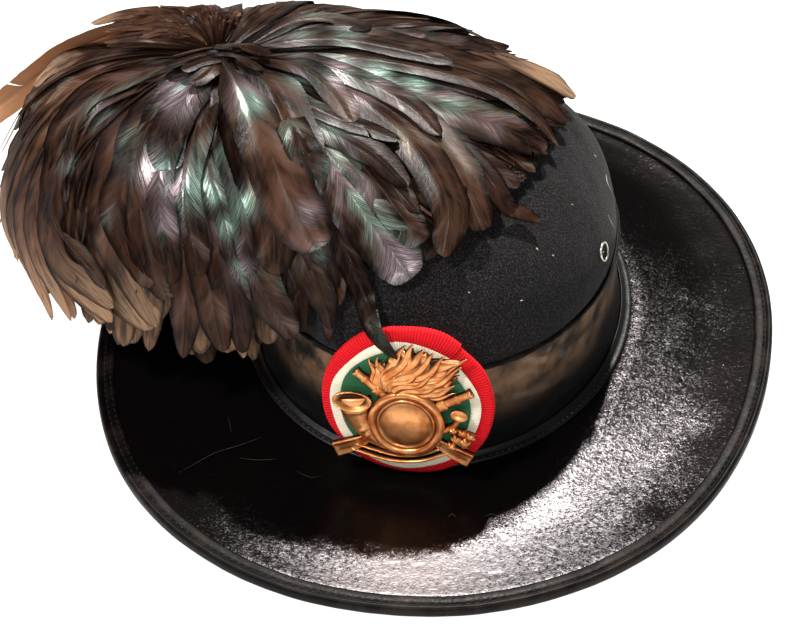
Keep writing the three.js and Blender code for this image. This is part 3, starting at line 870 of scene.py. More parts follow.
# Folds and wrinkles of the band, in pixels: a positive height stands out, a negative one dips in
BAND_FOLDS = [
    {"pixels": [(524, 352), (548, 352), (541, 376)], "height": 0.9, "half": 1.6},
    {"pixels": [(528, 357), (544, 357)], "height": -0.7, "half": 1.4},
    {"pixels": [(515, 398), (538, 392), (560, 380)], "height": 0.5, "half": 1.6},
    {"pixels": [(560, 352), (582, 336), (600, 318)], "height": -0.5, "half": 2.4},
    {"pixels": [(505, 380), (520, 372), (548, 368)], "height": -0.4, "half": 2.0},
    {"pixels": [(556, 400), (580, 380), (598, 356)], "height": 0.4, "half": 2.2},
    {"pixels": [(268, 372), (284, 392), (312, 412)], "height": 0.4, "half": 2.0},
    {"pixels": [(300, 350), (306, 372), (318, 398)], "height": -0.4, "half": 2.0},
]


def band_ring(height, angles, inset=0.0):
    oval = even_oval(*(
        float(smooth_lookup(BAND_SECTIONS, "height", key, height))
        for key in ("half_width", "half_length", "centre_y")
    ))
    return oval_ring(grown(oval, -inset), angles, BAND_FOOT + height)


def make_band(material):
    angles = all_round(BAND_STEPS)
    heights = np.linspace(0, BAND_HEIGHT, BAND_ROWS)
    outer = np.stack([band_ring(height, angles) for height in heights])
    plain = Net()
    plain.add(outer, around=True)
    tree = plain.ray_tree()
    normals = surface_normals(outer)
    out = 0.18 * ripple(outer, 40, 31) + 0.1 * ripple(outer, 14, 32)
    for fold in BAND_FOLDS:
        out = out + fold["height"] * mark(outer, tree, fold)
    shown = outer + normals * out[..., None]
    inner = np.stack([band_ring(height, angles, BAND_THICKNESS) for height in heights[::-6]])
    net = Net()
    net.add(np.concatenate([shown, inner]), around=True, closed=True)
    net.make("crown_band_leather", material, "crown_band", "leather")


# Piping and welt

PIPING_SIDES = 12


def make_piping(material):
    angles = all_round(BAND_STEPS)
    clear = (BAND_THICKNESS + GAP) / 2
    rings = []
    for turn in all_round(PIPING_SIDES):
        out = clear + PIPING_RADIUS * math.cos(turn)
        oval = grown(band_oval(BAND_HEIGHT), out)
        rings.append(oval_ring(oval, angles, PIPING_HEIGHT + PIPING_RADIUS * math.sin(turn)))
    grid = np.stack(rings)
    grid = grid + 0.12 * ripple(grid, 6, 41)[..., None] * unit(grid - grid.mean(axis=0))
    net = Net()
    net.add(grid, around=True, closed=True)
    net.make("band_piping_cord", material, "band_piping", "leather")


# Section of the stitched strip round the band's foot
WELT_SECTION = table(
    "out rise",
    (GAP, 0),
    (GAP + WELT_WIDTH, 0),
    (GAP + WELT_WIDTH, 0.7),
    (GAP + WELT_WIDTH * 0.9, 1.05),
    (GAP + WELT_WIDTH * 0.72, 1.2),
    (GAP + WELT_WIDTH * 0.5, 1.25),
    (GAP + WELT_WIDTH * 0.33, 1.6),
    (GAP + WELT_WIDTH * 0.14, 2.5),
    (GAP + WELT_WIDTH * 0.05, 2.9),
    (GAP, WELT_HEIGHT),
)
WELT_STITCH_OUT = GAP + WELT_WIDTH * 0.7
WELT_STITCH_RISE = 1.22
WELT_STITCH_PITCH = 3.0
WELT_STITCH_SIZE = (0.8, 0.32, 0.22)


def welt_ring(out, rise, angles):
    return oval_ring(grown(FOOT_OVAL, out), angles, BAND_FOOT + rise)


def make_welt(material, thread):
    angles = all_round(BAND_STEPS)
    grid = np.stack([welt_ring(*row, angles) for row in zip(*WELT_SECTION.values())])
    net = Net()
    net.add(grid, around=True, closed=True)
    net.make("foot_welt_strip", material, "foot_welt", "leather")
    stitches = Net()
    ring_at = partial(welt_ring, WELT_STITCH_OUT, WELT_STITCH_RISE)
    add_stitches(stitches, ring_at, angles, WELT_STITCH_PITCH, WELT_STITCH_SIZE)
    stitches.make("welt_stitches", thread, slot="white_ribbon")


# Vent ring

VENT_RING_RADIUS = VENT_RADIUS - 0.5
VENT_RING_HALF_WIDTH = 0.42
VENT_RING_HALF_HEIGHT = 0.5
VENT_STEPS = 48
VENT_WIRE_SIDES = 14
VENT_HOLLOW = table(
    "radius depth",
    (0.01, -0.55),
    (1.2, -0.55),
    (2.2, -0.5),
    (3.1, -0.35),
    (3.8, -0.05),
    (4.0, -0.5),
    (3.0, -0.8),
    (0.01, -0.8),
)
VENT_GLINT_DEPTH = 0.4
VENT_GLINT_SIZE = (1.6, 0.6, 0.25)


def make_vent(material, dark):
    """A thin metal ring square to the dome, round a near-black dish that is painted shade in its hole,
    with a glint in it.
    """
    rise = (VENT_HEIGHT - CLOTH_FOOT) / CROWN_RISE
    narrow = dome_width(rise)
    y = (VENT_Y - CROWN_CENTRE_Y) / (CROWN_HALF_LENGTH * narrow)
    x = math.sqrt(1 - y * y)
    sideways = narrow ** (CROWN_ROUNDNESS - 1)
    outward = unit((
        sideways * x / CROWN_HALF_WIDTH,
        sideways * y / CROWN_HALF_LENGTH,
        rise ** (CROWN_ROUNDNESS - 1) / CROWN_RISE,
    ))
    place = np.array([CROWN_HALF_WIDTH * narrow * x, VENT_Y, VENT_HEIGHT])
    place = place + outward * (VENT_WIRE + GAP)
    side = unit(np.cross((0, 0, 1), outward))
    up = np.cross(outward, side)
    turns = all_round(VENT_STEPS)[None, :, None]

    def ring(radius, out):
        round_point = np.cos(turns) * side + np.sin(turns) * up
        return place + radius[:, None, None] * round_point + out[:, None, None] * outward

    wire = all_round(VENT_WIRE_SIDES)
    radius = VENT_RING_RADIUS + VENT_RING_HALF_WIDTH * np.cos(wire)
    net = Net()
    net.add(ring(radius, VENT_RING_HALF_HEIGHT * np.sin(wire)), around=True, closed=True)
    net.make("vent_ring", material, "vent_eyelet", "nickel")
    # The hollow is painted shade: a near-black dish where the hole's inside would be in shadow.
    hollow = Net()
    hollow.add(ring(*VENT_HOLLOW.values()), around=True)
    hollow.make("vent_hollow", dark, slot="cloth")
    glint = Net()
    add_beads(glint, [place - outward * VENT_GLINT_DEPTH], [up], [outward], *VENT_GLINT_SIZE)
    glint.make("vent_glint", material, slot="nickel")


# Scratches on the brim and fibres on the cloth: their line in pixels and radius
BRIM_SCRATCHES = [
    {"pixels": [(154, 488), (178, 473), (207, 457), (217, 452), (240, 445), (262, 437)], "radius": 0.09},
    {"pixels": [(240, 458), (258, 460), (276, 459)], "radius": 0.08},
    {"pixels": [(228, 417), (230, 424), (231, 432)], "radius": 0.07},
    {"pixels": [(448, 517), (452, 514), (456, 517)], "radius": 0.12},
    {"pixels": [(485, 516), (492, 514), (497, 516)], "radius": 0.12},
    {"pixels": [(296, 471), (310, 477), (322, 476)], "radius": 0.06},
]
CLOTH_FIBRES = [
    {"pixels": [(606, 175), (607, 182), (611, 191)], "radius": 0.22},
    {"pixels": [(608, 215), (611, 222), (614, 228)], "radius": 0.2},
    {"pixels": [(594, 155), (596, 157)], "radius": 0.3},
    {"pixels": [(536, 248), (538, 250)], "radius": 0.35},
    {"pixels": [(552, 255), (554, 256)], "radius": 0.3},
    {"pixels": [(571, 204), (573, 205)], "radius": 0.22},
    {"pixels": [(468, 292), (470, 293)], "radius": 0.2},
    {"pixels": [(520, 301), (523, 300)], "radius": 0.2},
]


THREAD_POINTS = 5
THREAD_LIFT = 0.3


def make_threads(name, rows, tree, material, slot):
    """One mesh of thin threads that lie on a surface where their pixels meet it."""
    net = Net()
    for row in rows:
        places, normals = pixel_points(tree, row["pixels"])
        if len(places) < 2:
            continue
        both = even_curve(np.concatenate([places, normals], axis=1), THREAD_POINTS * len(places))
        up = unit(both[:, 3:])
        add_thread(net, both[:, :3] + up * row["radius"] * THREAD_LIFT, up, row["radius"])
    if net.count:
        net.make(name, material, slot=slot)


# Cockade. Its own axes run across, up and outward from the middle of its back.

COCKADE_AXES = np.array([
    (1, 0, 0),
    (0, math.sin(COCKADE_LEAN), math.cos(COCKADE_LEAN)),
    (0, -math.cos(COCKADE_LEAN), math.sin(COCKADE_LEAN)),
])


def on_cockade(across, up, out):
    local = np.stack(np.broadcast_arrays(across, up, out), axis=-1)
    return COCKADE_PLACE + local @ COCKADE_AXES


# The three rings of ribbon: radius, middle, where the back and face are, ribs and their height
RIBBON_RINGS = [
    {"name": "cockade_red", "radius": 36.6, "across": 0, "up": 0, "back": 0, "face": 4.1,
     "ribs": 168, "ridge": 0.42, "overlap": 0.035, "slot": "red_ribbon"},
    {"name": "cockade_white", "radius": 31.4, "across": -0.8, "up": -1.3, "back": 4.2, "face": 5.1,
     "ribs": 190, "ridge": 0.18, "overlap": 0.02, "slot": "white_ribbon"},
    {"name": "cockade_green", "radius": 27.2, "across": -0.8, "up": -1.0, "back": 5.2, "face": 6.0,
     "ribs": 150, "ridge": 0.26, "overlap": 0.01, "slot": "green_ribbon"},
]
OVERLAP_BEARING = math.radians(55)
FULL_OVERLAP = 0.035
OVERLAP_STEP = 0.5
STEPS_PER_RIB = 4

# Section of a ribbon ring: share of its radius, and how far it is from the face to the back
RIBBON_SECTION = table(
    "share rounding",
    (0, 0),
    (0.25, 0),
    (0.5, 0),
    (0.62, 0),
    (0.72, 0),
    (0.8, 0),
    (0.87, 0),
    (0.93, 0.02),
    (0.97, 0.08),
    (0.99, 0.2),
    (1, 0.45),
    (1, 0.8),
    (0.97, 1),
    (0, 1),
)
RIBS_START = 0.3


def make_ribbon_ring(row, material):
    steps = row["ribs"] * STEPS_PER_RIB
    angles = all_round(steps)
    way_round = ((angles - OVERLAP_BEARING) % TURN) / TURN
    ridge = np.abs(np.cos(angles * row["ribs"] / 2)) ** 0.8
    seed = row["ribs"]
    place = np.stack([np.cos(angles), np.sin(angles), 0 * angles], axis=-1) * row["radius"]
    outline = row["radius"] * (1 - row["overlap"] * way_round)
    outline = outline + 0.35 * ripple(place, 26, seed) + 0.25 * (ridge - 0.5)
    shares = RIBBON_SECTION["share"][:, None]
    rounding = RIBBON_SECTION["rounding"][:, None]
    flat = 1 - rounding
    radius = shares * outline
    swell = 0.3 * ripple(place, 30, seed + 1) * np.linspace(0, 1, len(shares))[:, None]
    depth = row["face"] + (row["back"] - row["face"]) * rounding + swell * flat
    depth = depth + (row["ridge"] * (ridge - 1) * (shares > RIBS_START)) * flat
    depth = depth - OVERLAP_STEP * row["overlap"] / FULL_OVERLAP * way_round * flat * shares
    across = row["across"] + radius * np.cos(angles)
    up = row["up"] + radius * np.sin(angles)
    detail = np.stack(np.broadcast_arrays(shares, way_round, ridge, 1.0), axis=-1)
    net = Net()
    net.add(on_cockade(across, up, depth), around=True, detail=detail)
    net.make(row["name"] + "_ring", material, row["name"], row["slot"])


def make_cockade():
    red = make_ribbon("ribbon_red", paint(196, 8, 20), paint(240, 36, 46), paint(140, 8, 18), 0.5)
    white = make_ribbon("ribbon_white", paint(236, 226, 196), paint(255, 250, 228),
                        paint(226, 160, 150), 0.4)
    green = make_ribbon("ribbon_green", paint(26, 74, 48), paint(60, 116, 78), paint(20, 50, 36), 0.45)
    for row, material in zip(RIBBON_RINGS, (red, white, green)):
        make_ribbon_ring(row, material)


# Badge. Its own axes run across, up and outward from the middle of the cockade's face. Its parts
# are raised, flat-backed bars that bend and taper, turned rings, small lumps, the two mouths and
# the flame's mound.

BADGE_BACK = 6.4
HORN_CENTRE = (0.2, -9.4)
HORN_RADIUS = 14.1
HORN_TUBE = 1.9
BOSS_RADIUS = 12.3
BOSS_UNDERSIDE = 1.0

# Section of the disc in the horn, from the middle of its top round to the middle of its underside
BOSS_SECTION = table(
    "radius height",
    (0.05, 5),
    (2.6, 4.9),
    (5.2, 4.6),
    (7.6, 4.1),
    (9.6, 3.5),
    (10.5, 3.2),
    (10.8, 3.3),
    (11.1, 3.75),
    (11.6, 3.85),
    (12, 3.6),
    (BOSS_RADIUS, 3),
    (BOSS_RADIUS, BOSS_UNDERSIDE),
    (0.05, BOSS_UNDERSIDE),
)
BAR_COLUMNS = np.sin(np.linspace(-math.pi / 2, math.pi / 2, 15))
TURNED_STEPS = 180
LUMP_LOBES = 5
LUMP_HEIGHT = 1.6
LUMP_HALF_HEIGHT = 2.2
LOWEST_EDGE = 0.15


def on_badge(across, up, out):
    return on_cockade(across, up + BADGE_UP, out + BADGE_BACK)


def rounded(u, s):
    return np.sqrt(np.maximum(1 - u**2, 0)) + 0 * s


def ridged(u, s):
    """A lock of the flame: a crest with finer ridges beside it that run along the lock."""
    folds = 0.07 * np.cos(9.5 * (u + 0.25 * np.sin(3 * s)))
    return np.sqrt(np.maximum(1 - np.abs(u) ** 2.2, 0)) * (0.86 + folds)


def framed(u, s):
    """A gun stock: raised borders round a checked panel."""
    border = 1 / (1 + np.exp(-(np.abs(u) - 0.68) * 30))
    ends = 1 / (1 + np.exp(-(np.abs(s - 0.5) - 0.43) * 60))
    border = np.maximum(border, ends)
    checks = 0.1 * np.sin(52 * s + 9 * u) * np.sin(52 * s - 9 * u)
    edge = np.clip((1 - np.abs(u)) / 0.08, 0, 1) ** 0.5
    return edge * (0.62 + checks * (1 - border) + 0.3 * border)


def banded(u, s):
    """The bell of the horn: plain at its mouth, then a leaf border between raised bands."""
    leaf = 0.08 * np.sin(16 * u + 3 * np.sin(60 * s)) * bell_curve(s - 0.3, 0.1)
    bands = 0.1 * bell_curve(s - 0.42, 0.018) + 0.1 * bell_curve(s - 0.5, 0.018)
    bands = bands + 0.08 * bell_curve(s - 0.17, 0.02)
    return np.sqrt(np.maximum(1 - u**2, 0)) * (0.9 + leaf + bands)


def add_bar(net, rows, top, steps, base=0.0, sway=0.0):
    """Adds a bar: rows give its middle line across and up, its half width and its height. Sway
    bends it to and fro."""
    line = even_curve(np.stack([rows[key] for key in ("across", "up", "half", "rise")], axis=1), steps)
    heading = unit(np.gradient(line[:, :2], axis=0))
    swing = sway * np.sin(np.linspace(0, 1, steps) * TURN * 1.25 + 0.6) * np.linspace(0.2, 1, steps)
    line[:, 0] -= heading[:, 1] * swing
    line[:, 1] += heading[:, 0] * swing
    heading = unit(np.gradient(line[:, :2], axis=0))
    u = BAR_COLUMNS[None, :]
    s = np.linspace(0, 1, steps)[:, None]
    shape = top(u, s)
    across = line[:, :1] - heading[:, 1:] * line[:, 2:3] * u
    up = line[:, 1:2] + heading[:, :1] * line[:, 2:3] * u
    out = base + line[:, 3:4] * shape
    across = np.concatenate([across, across[:, ::-1]], axis=1)
    up = np.concatenate([up, up[:, ::-1]], axis=1)
    out = np.concatenate([out, np.full_like(out, base - LOWEST_EDGE)], axis=1)
    worn = np.concatenate([shape, np.zeros_like(shape)], axis=1)
    net.add_capped(on_badge(across, up, out), detail=one_value(worn))


def add_turned(net, centre, radii, heights):
    """Adds a closed body turned round a centre: its profile goes out and back."""
    turns = all_round(TURNED_STEPS)
    radius = np.asarray(radii, dtype=float)[:, None]
    out = np.broadcast_to(np.asarray(heights, dtype=float)[:, None], (len(radii), TURNED_STEPS))
    across = centre[0] + radius * np.cos(turns)
    up = centre[1] + radius * np.sin(turns)
    worn = np.clip((out - out.min()) / max(np.ptp(out), 0.1), 0, 1)
    net.add(on_badge(across, up, out), around=True, detail=one_value(worn))


def add_lump(net, across, up, half_across, half_up, turn):
    """Adds a small rounded lump with lobes round it, as of a knot or a tassel."""
    tilt = np.linspace(-math.pi / 2, math.pi / 2, 16)[1:-1, None]
    turns = all_round(36)
    swell = 1 + 0.14 * np.cos(LUMP_LOBES * turns)
    a = half_across * swell * np.cos(tilt) * np.cos(turns)
    b = half_up * swell * np.cos(tilt) * np.sin(turns)
    c = LUMP_HALF_HEIGHT * np.sin(tilt) + 0 * turns
    worn = np.clip(0.4 + 0.6 * np.sin(tilt), 0, 1) * (swell + 0 * tilt)
    cosine, sine = math.cos(turn), math.sin(turn)
    place = on_badge(across + a * cosine - b * sine, up + a * sine + b * cosine, LUMP_HEIGHT + c)
    net.add_capped(place, detail=one_value(worn))


BELL = table(
    "across up half rise",
    (-22.3, 0.2, 7.6, 4.2),
    (-21.7, -3.6, 6.9, 4.4),
    (-20.6, -8.0, 6.0, 4.3),
    (-18.6, -12.6, 4.9, 4.0),
    (-15.4, -17.0, 3.9, 3.8),
    (-10.2, -20.6, 3.1, 3.7),
    (-4.0, -22.6, 2.6, 3.7),
    (2.0, -23.0, 2.3, 3.6),
)
GUNS = [
    table(
        "across up half rise",
        (-21.4, 13.3, 1.75, 2.3),
        (-12.0, 5.2, 1.85, 2.4),
        (0.0, -5.2, 1.9, 2.2),
        (10.0, -13.8, 2.0, 2.2),
        (13.6, -16.7, 2.2, 2.3),
    ),
    table(
        "across up half rise",
        (26.6, 8.1, 1.75, 2.3),
        (14.5, 0.6, 1.85, 2.4),
        (0.0, -8.6, 1.9, 2.2),
        (-12.0, -16.6, 2.0, 2.2),
        (-16.0, -19.4, 2.2, 2.3),
    ),
]
STOCKS = [
    table(
        "across up half rise",
        (13.6, -18.2, 2.0, 2.5),
        (19.5, -21.8, 2.9, 2.7),
        (27.2, -25.4, 3.3, 2.7),
    ),
    table(
        "across up half rise",
        (-15.8, -19.6, 2.0, 2.5),
        (-21.5, -23.2, 3.0, 2.7),
        (-29.2, -26.9, 3.5, 2.7),
    ),
]
COLLARS = [
    {"gun": 0, "along": (0.0, 0.03), "half": 1.95, "rise": 2.6},
    {"gun": 0, "along": (0.1, 0.13), "half": 2.0, "rise": 2.6},
    {"gun": 0, "along": (0.24, 0.3), "half": 2.5, "rise": 2.9},
    {"gun": 1, "along": (0.0, 0.03), "half": 1.95, "rise": 2.6},
    {"gun": 1, "along": (0.12, 0.15), "half": 2.1, "rise": 2.7},
    {"gun": 1, "along": (0.24, 0.31), "half": 2.6, "rise": 2.9},
]
RAILS = [
    table("across up half rise", (-20.6, -22.6, 0.8, 2.9), (-12, -25.0, 0.8, 2.6),
          (-3.0, -26.6, 0.8, 2.5), (6, -25.2, 0.8, 2.6), (14.4, -20.6, 0.8, 2.9)),
    table("across up half rise", (-22.5, -25.4, 1.0, 2.6), (-12, -28.6, 1.0, 2.3),
          (-3.0, -29.8, 1.0, 2.2), (7, -28.2, 1.0, 2.3), (17.5, -22.9, 1.0, 2.6)),
]
MOUTHPIECE = table(
    "across up half rise",
    (21.8, -3.2, 2.6, 3.4),
    (21.6, -5.6, 1.7, 3.0),
    (20.0, -8.6, 1.4, 2.8),
    (17.0, -11.0, 1.6, 2.9),
    (13.0, -12.6, 1.9, 3.0),
)
KNOT_LUMPS = table(
    "across up half_across half_up turn",
    (19.8, -10.6, 2.2, 1.7, 0.2),
    (23.6, -11.6, 2.3, 1.8, -0.3),
    (26.8, -12.9, 2.4, 1.9, -0.5),
    (21.0, -15.2, 2.1, 2.6, 0.5),
    (24.8, -16.6, 2.2, 2.9, 0.3),
    (19.2, -18.8, 1.9, 2.2, 0.8),
)

# Locks of the flame, from the root over two bends to the tip, with half width and base height
FLAME_LOCKS = table(
    "ax ay bx by cx cy tx ty half base",
    (-10.0, 5.6, -14.4, 8.0, -14.0, 14.4, -15.2, 19.8, 2.0, 0.3),
    (-9.5, 5.6, -12.4, 9.0, -12.2, 15.4, -11.6, 20.8, 2.1, 0.8),
    (-8.5, 5.6, -10.4, 9.0, -9.4, 14.0, -8.6, 18.8, 2.0, 1.1),
    (-8.0, 5.6, -9.6, 11.4, -5.0, 20.6, -0.4, 27.2, 3.2, 0.3),
    (-7.0, 5.6, -7.8, 12.4, -1.4, 20.4, 2.6, 28.4, 3.4, 0.9),
    (-6.0, 5.6, -6.0, 12.4, 3.0, 20.8, 7.2, 26.4, 3.4, 0.5),
    (-5.0, 5.5, -3.4, 11.4, 5.6, 18.4, 11.2, 25.6, 3.3, 1.2),
    (-4.0, 5.4, -1.2, 10.4, 9.4, 16.8, 15.4, 24.0, 3.3, 0.7),
    (-3.0, 5.3, 1.4, 9.4, 12.0, 14.8, 24.4, 23.6, 3.3, 0.4),
    (-2.0, 5.2, 3.2, 8.4, 13.4, 12.6, 22.6, 20.2, 3.0, 1.2),
    (-1.0, 5.0, 4.8, 7.2, 13.6, 9.6, 21.6, 15.4, 2.8, 0.5),
    (0.0, 4.8, 6.0, 6.2, 13.0, 6.8, 20.2, 10.6, 2.4, 1.1),
    (1.0, 4.6, 6.6, 5.4, 12.4, 4.2, 20.4, 6.4, 2.1, 0.4),
    (-8.0, 6.0, -7.6, 10.4, -2.0, 14.4, 1.4, 19.6, 2.2, 2.0),
    (-6.5, 6.0, -5.0, 10.0, 1.8, 13.4, 6.0, 17.6, 2.2, 2.3),
    (-5.0, 5.8, -2.0, 8.8, 5.4, 11.4, 11.4, 15.8, 2.3, 2.4),
    (-3.0, 5.6, 1.6, 7.2, 8.6, 8.8, 15.6, 12.6, 2.1, 2.2),
    (-1.5, 5.2, 3.2, 5.8, 9.0, 6.2, 14.6, 7.8, 1.7, 1.9),
)
LOCK_RISE = 2.5
LOCK_HALF = 2.9
LOCK_TAPER = np.array([0.8, 1.0, 0.72, 0.08])
LOCK_FALL = np.array([0.9, 1.0, 0.8, 0.25])
FLAME_HEART = (1.0, 12.0)
FLAME_OUTLINE = table(
    "across up",
    (-10.6, 6.4),
    (-13.6, 9.2),
    (-14.4, 14.0),
    (-14.6, 18.0),
    (-12.9, 15.8),
    (-11.8, 19.0),
    (-9.8, 16.8),
    (-8.6, 20.0),
    (-5.6, 23.6),
    (-1.6, 26.0),
    (-0.6, 24.4),
    (2.0, 26.6),
    (3.0, 24.2),
    (7.6, 25.4),
    (9.0, 22.8),
    (14.2, 23.0),
    (22.0, 22.6),
    (19.4, 19.8),
    (21.0, 17.6),
    (18.6, 15.8),
    (20.4, 14.2),
    (17.6, 11.6),
    (18.8, 9.6),
    (15.8, 7.4),
    (17.4, 5.6),
    (12.4, 4.6),
    (8.0, 6.0),
    (3.6, 4.4),
    (-3.6, 5.2),
)


# The mouths of the horn and of the mouthpiece: share of the radius, and height over the rim
BELL_LIP = table(
    "share sink",
    (1, -1.6),
    (1.05, -0.8),
    (1.06, -0.1),
    (1.02, 0.25),
    (0.94, 0),
    (0.84, -0.7),
    (0.66, -1.3),
    (0.4, -1.7),
    (0.05, -1.9),
)
BELL_MOUTH = {"across": -22.2, "up": 0.1, "out": 4.1, "half_width": 7.7, "half_height": 3.0}
CUP_LIP = table("share sink", (1, -1.4), (1.04, -0.2), (0.92, 0.1), (0.6, -0.3), (0.05, -0.5))
CUP_MOUTH = {"across": 21.9, "up": -2.3, "out": 3.6, "half_width": 3.4, "half_height": 1.9}

# Section of the flame's mound, from its edge to its heart
FLAME_SECTION = table(
    "share rise",
    (1, -0.1),
    (1, 0.5),
    (0.97, 1.2),
    (0.92, 1.6),
    (0.84, 1.9),
    (0.74, 2.1),
    (0.62, 2.2),
    (0.48, 2.3),
    (0.32, 2.3),
    (0.16, 2.3),
    (0.02, 2.3),
)


def add_bell_mouth(net):
    """The open mouth of the horn: a lip round a hollow that faces up and outward."""
    turns = all_round(72)
    shares = BELL_LIP["share"][:, None]
    sink = BELL_LIP["sink"][:, None]
    mouth = BELL_MOUTH
    lean = -1.5 * np.sin(turns)
    across = mouth["across"] + mouth["half_width"] * shares * np.cos(turns)
    up = mouth["up"] + mouth["half_height"] * shares * np.sin(turns) + 0.05 * shares * np.cos(turns)
    up = up - 1.2 * shares * np.maximum(-np.sin(turns), 0)
    out = np.maximum(mouth["out"] + lean * shares + sink, LOWEST_EDGE)
    worn = np.clip((sink + 1.9) / 2.0, 0, 1) + 0 * turns
    net.add(on_badge(across, up, out), around=True, detail=one_value(worn))


def add_cup(net):
    """The mouthpiece's cup, seen from its side, with a hollow top."""
    turns = all_round(48)
    shares = CUP_LIP["share"][:, None]
    sink = CUP_LIP["sink"][:, None]
    mouth = CUP_MOUTH
    sideways = mouth["half_width"] * shares * np.cos(turns)
    across = mouth["across"] + sideways
    up = mouth["up"] + mouth["half_height"] * shares * np.sin(turns) - 0.12 * sideways
    out = mouth["out"] - 0.8 * shares * np.sin(turns) + sink
    worn = np.clip((sink + 1.4) / 1.4, 0, 1) + 0 * turns
    net.add(on_badge(across, up, np.maximum(out, LOWEST_EDGE)), around=True, detail=one_value(worn))


def add_flame_locks(net):
    for ax, ay, bx, by, cx, cy, tx, ty, half, base in zip(*FLAME_LOCKS.values()):
        rows = {
            "across": np.array([ax, bx, cx, tx]),
            "up": np.array([ay, by, cy, ty]),
            "half": half * LOCK_TAPER,
            "rise": LOCK_RISE * LOCK_FALL * half / LOCK_HALF,
        }
        add_bar(net, rows, ridged, steps=44, base=base, sway=0.9)


def add_flame_body(net):
    """The mound of the flame under its locks, with grooves that fan out from the horn."""
    outline = np.stack([FLAME_OUTLINE["across"], FLAME_OUTLINE["up"]], axis=1)
    closed = np.concatenate([outline, outline[:1]])
    edge = curve(closed, np.linspace(0, 1, 300, endpoint=False))
    shares = FLAME_SECTION["share"][:, None]
    rise = FLAME_SECTION["rise"][:, None]
    across = FLAME_HEART[0] + shares * (edge[:, 0] - FLAME_HEART[0])
    up = FLAME_HEART[1] + shares * (edge[:, 1] - FLAME_HEART[1])
    turned = np.arctan2(up - 3, across + 2)
    flow = np.cos(17 * turned + 1.1 * np.sin(np.hypot(across, up) / 2.4))
    out = rise + 0.32 * flow * np.clip(rise, 0, 1)
    worn = np.clip(0.45 + 0.5 * flow, 0, 1) * np.clip(rise / 1.5, 0, 1)
    net.add(on_badge(across, up, out), around=True, detail=one_value(worn))


def flattened(u, s):
    """A barrel: a broad flat top with a sharp shoulder."""
    return np.maximum(1 - np.abs(u) ** 5, 0) ** 0.5 + 0 * s


def add_guns(net):
    for rows in GUNS:
        add_bar(net, rows, flattened, steps=30)
    for rows in STOCKS:
        add_bar(net, rows, framed, steps=44)
    for row in COLLARS:
        gun = GUNS[row["gun"]]
        line = even_curve(np.stack([gun["across"], gun["up"]], axis=1), 101)
        ends = line[[int(100 * share) for share in row["along"]]]
        rows = {"across": ends[:, 0], "up": ends[:, 1], "half": np.full(2, row["half"]),
                "rise": np.full(2, row["rise"])}
        add_bar(net, rows, flattened, steps=6)


def make_badge(material):
    net = Net()
    add_guns(net)
    add_flame_locks(net)
    add_flame_body(net)
    add_bar(net, BELL, banded, steps=72)
    add_bell_mouth(net)
    for rows in RAILS:
        add_bar(net, rows, rounded, steps=40)
    add_bar(net, MOUTHPIECE, rounded, steps=26)
    add_cup(net)
    for row in zip(*KNOT_LUMPS.values()):
        add_lump(net, *row)
    tube = np.linspace(0, TURN, 22)
    add_turned(net, HORN_CENTRE, HORN_RADIUS + HORN_TUBE * np.cos(tube) * 1.02,
               HORN_TUBE + 0.1 + (HORN_TUBE + 0.25) * np.sin(tube))
    net.make("badge_struck", material, "badge", "brass")
    boss = Net()
    add_turned(boss, HORN_CENTRE, *BOSS_SECTION.values())
    boss.make("badge_boss_disc", material, "badge_boss", "brass")


# Plume

KNOT = np.array([-100.0, 12.0, 119.0])
KNOT_RADIUS = 7
STEM_RADIUS = 2.6

# Directions are in degrees from the wearer's left, and the plume goes once round the knot
PLUME_START = -334
PLUME_END = 26

# How far the feathers reach from the knot, and how high their tips are, by direction
PLUME_REACH = table(
    "direction reach tip_height loft",
    (PLUME_START, 135, 92, 5),
    (-310, 112, 66, 2),
    (-270, 84, 46, 0),
    (-225, 92, 44, 0),
    (-190, 102, 46, 1),
    (-165, 104, 42, 2),
    (-130, 98, 40, 5),
    (-100, 102, 36, 7),
    (-75, 106, 40, 7),
    (-62, 122, 62, 6),
    (-50, 134, 92, 6),
    (-38, 150, 101, 6),
    (-20, 150, 108, 6),
    (12, 156, 101, 6),
    (27, 135, 92, 6),
)

# The fall of one feather: share of its reach, share of its drop and share of its loft
PLUME_FALL = table(
    "along drop loft",
    (0.03, 0, 0),
    (0.2, 0, 0.9),
    (0.42, 0.03, 1),
    (0.66, 0.14, 0.7),
    (0.84, 0.36, 0.3),
    (0.96, 0.66, 0),
    (1, 1, 0),
)
HANG_PER_RUN = 110

# The four bunches and the directions that they cover
BUNCHES = [
    {"name": "plume_crown", "from": -44.0, "to": 27.0},
    {"name": "plume_front", "from": -98.0, "to": -44.0},
    {"name": "plume_side", "from": -194.0, "to": -98.0},
    {"name": "plume_back", "from": PLUME_START, "to": -194.0},
]


def wrapped_direction(direction):
    return (np.asarray(direction, dtype=float) - PLUME_START) % 360 + PLUME_START


def plume_place(direction, run):
    """Points of the plume's outer surface, by direction in degrees and share of the reach."""
    turned = wrapped_direction(direction)
    read = {key: np.interp(turned, PLUME_REACH["direction"], PLUME_REACH[key])
            for key in ("reach", "tip_height", "loft")}
    held = np.clip(run, 0.03, 1)
    drop = smooth_lookup(PLUME_FALL, "along", "drop", held)
    loft = smooth_lookup(PLUME_FALL, "along", "loft", held)
    beyond = np.maximum(np.asarray(run) - 1, 0)
    out = held * read["reach"]
    height = KNOT[2] + loft * read["loft"] - drop * (KNOT[2] - read["tip_height"])
    height = height - beyond * HANG_PER_RUN
    angle = np.radians(turned)
    x = KNOT[0] + out * np.cos(angle)
    y = KNOT[1] + out * np.sin(angle)
    return np.stack(np.broadcast_arrays(x, y, height), axis=-1)


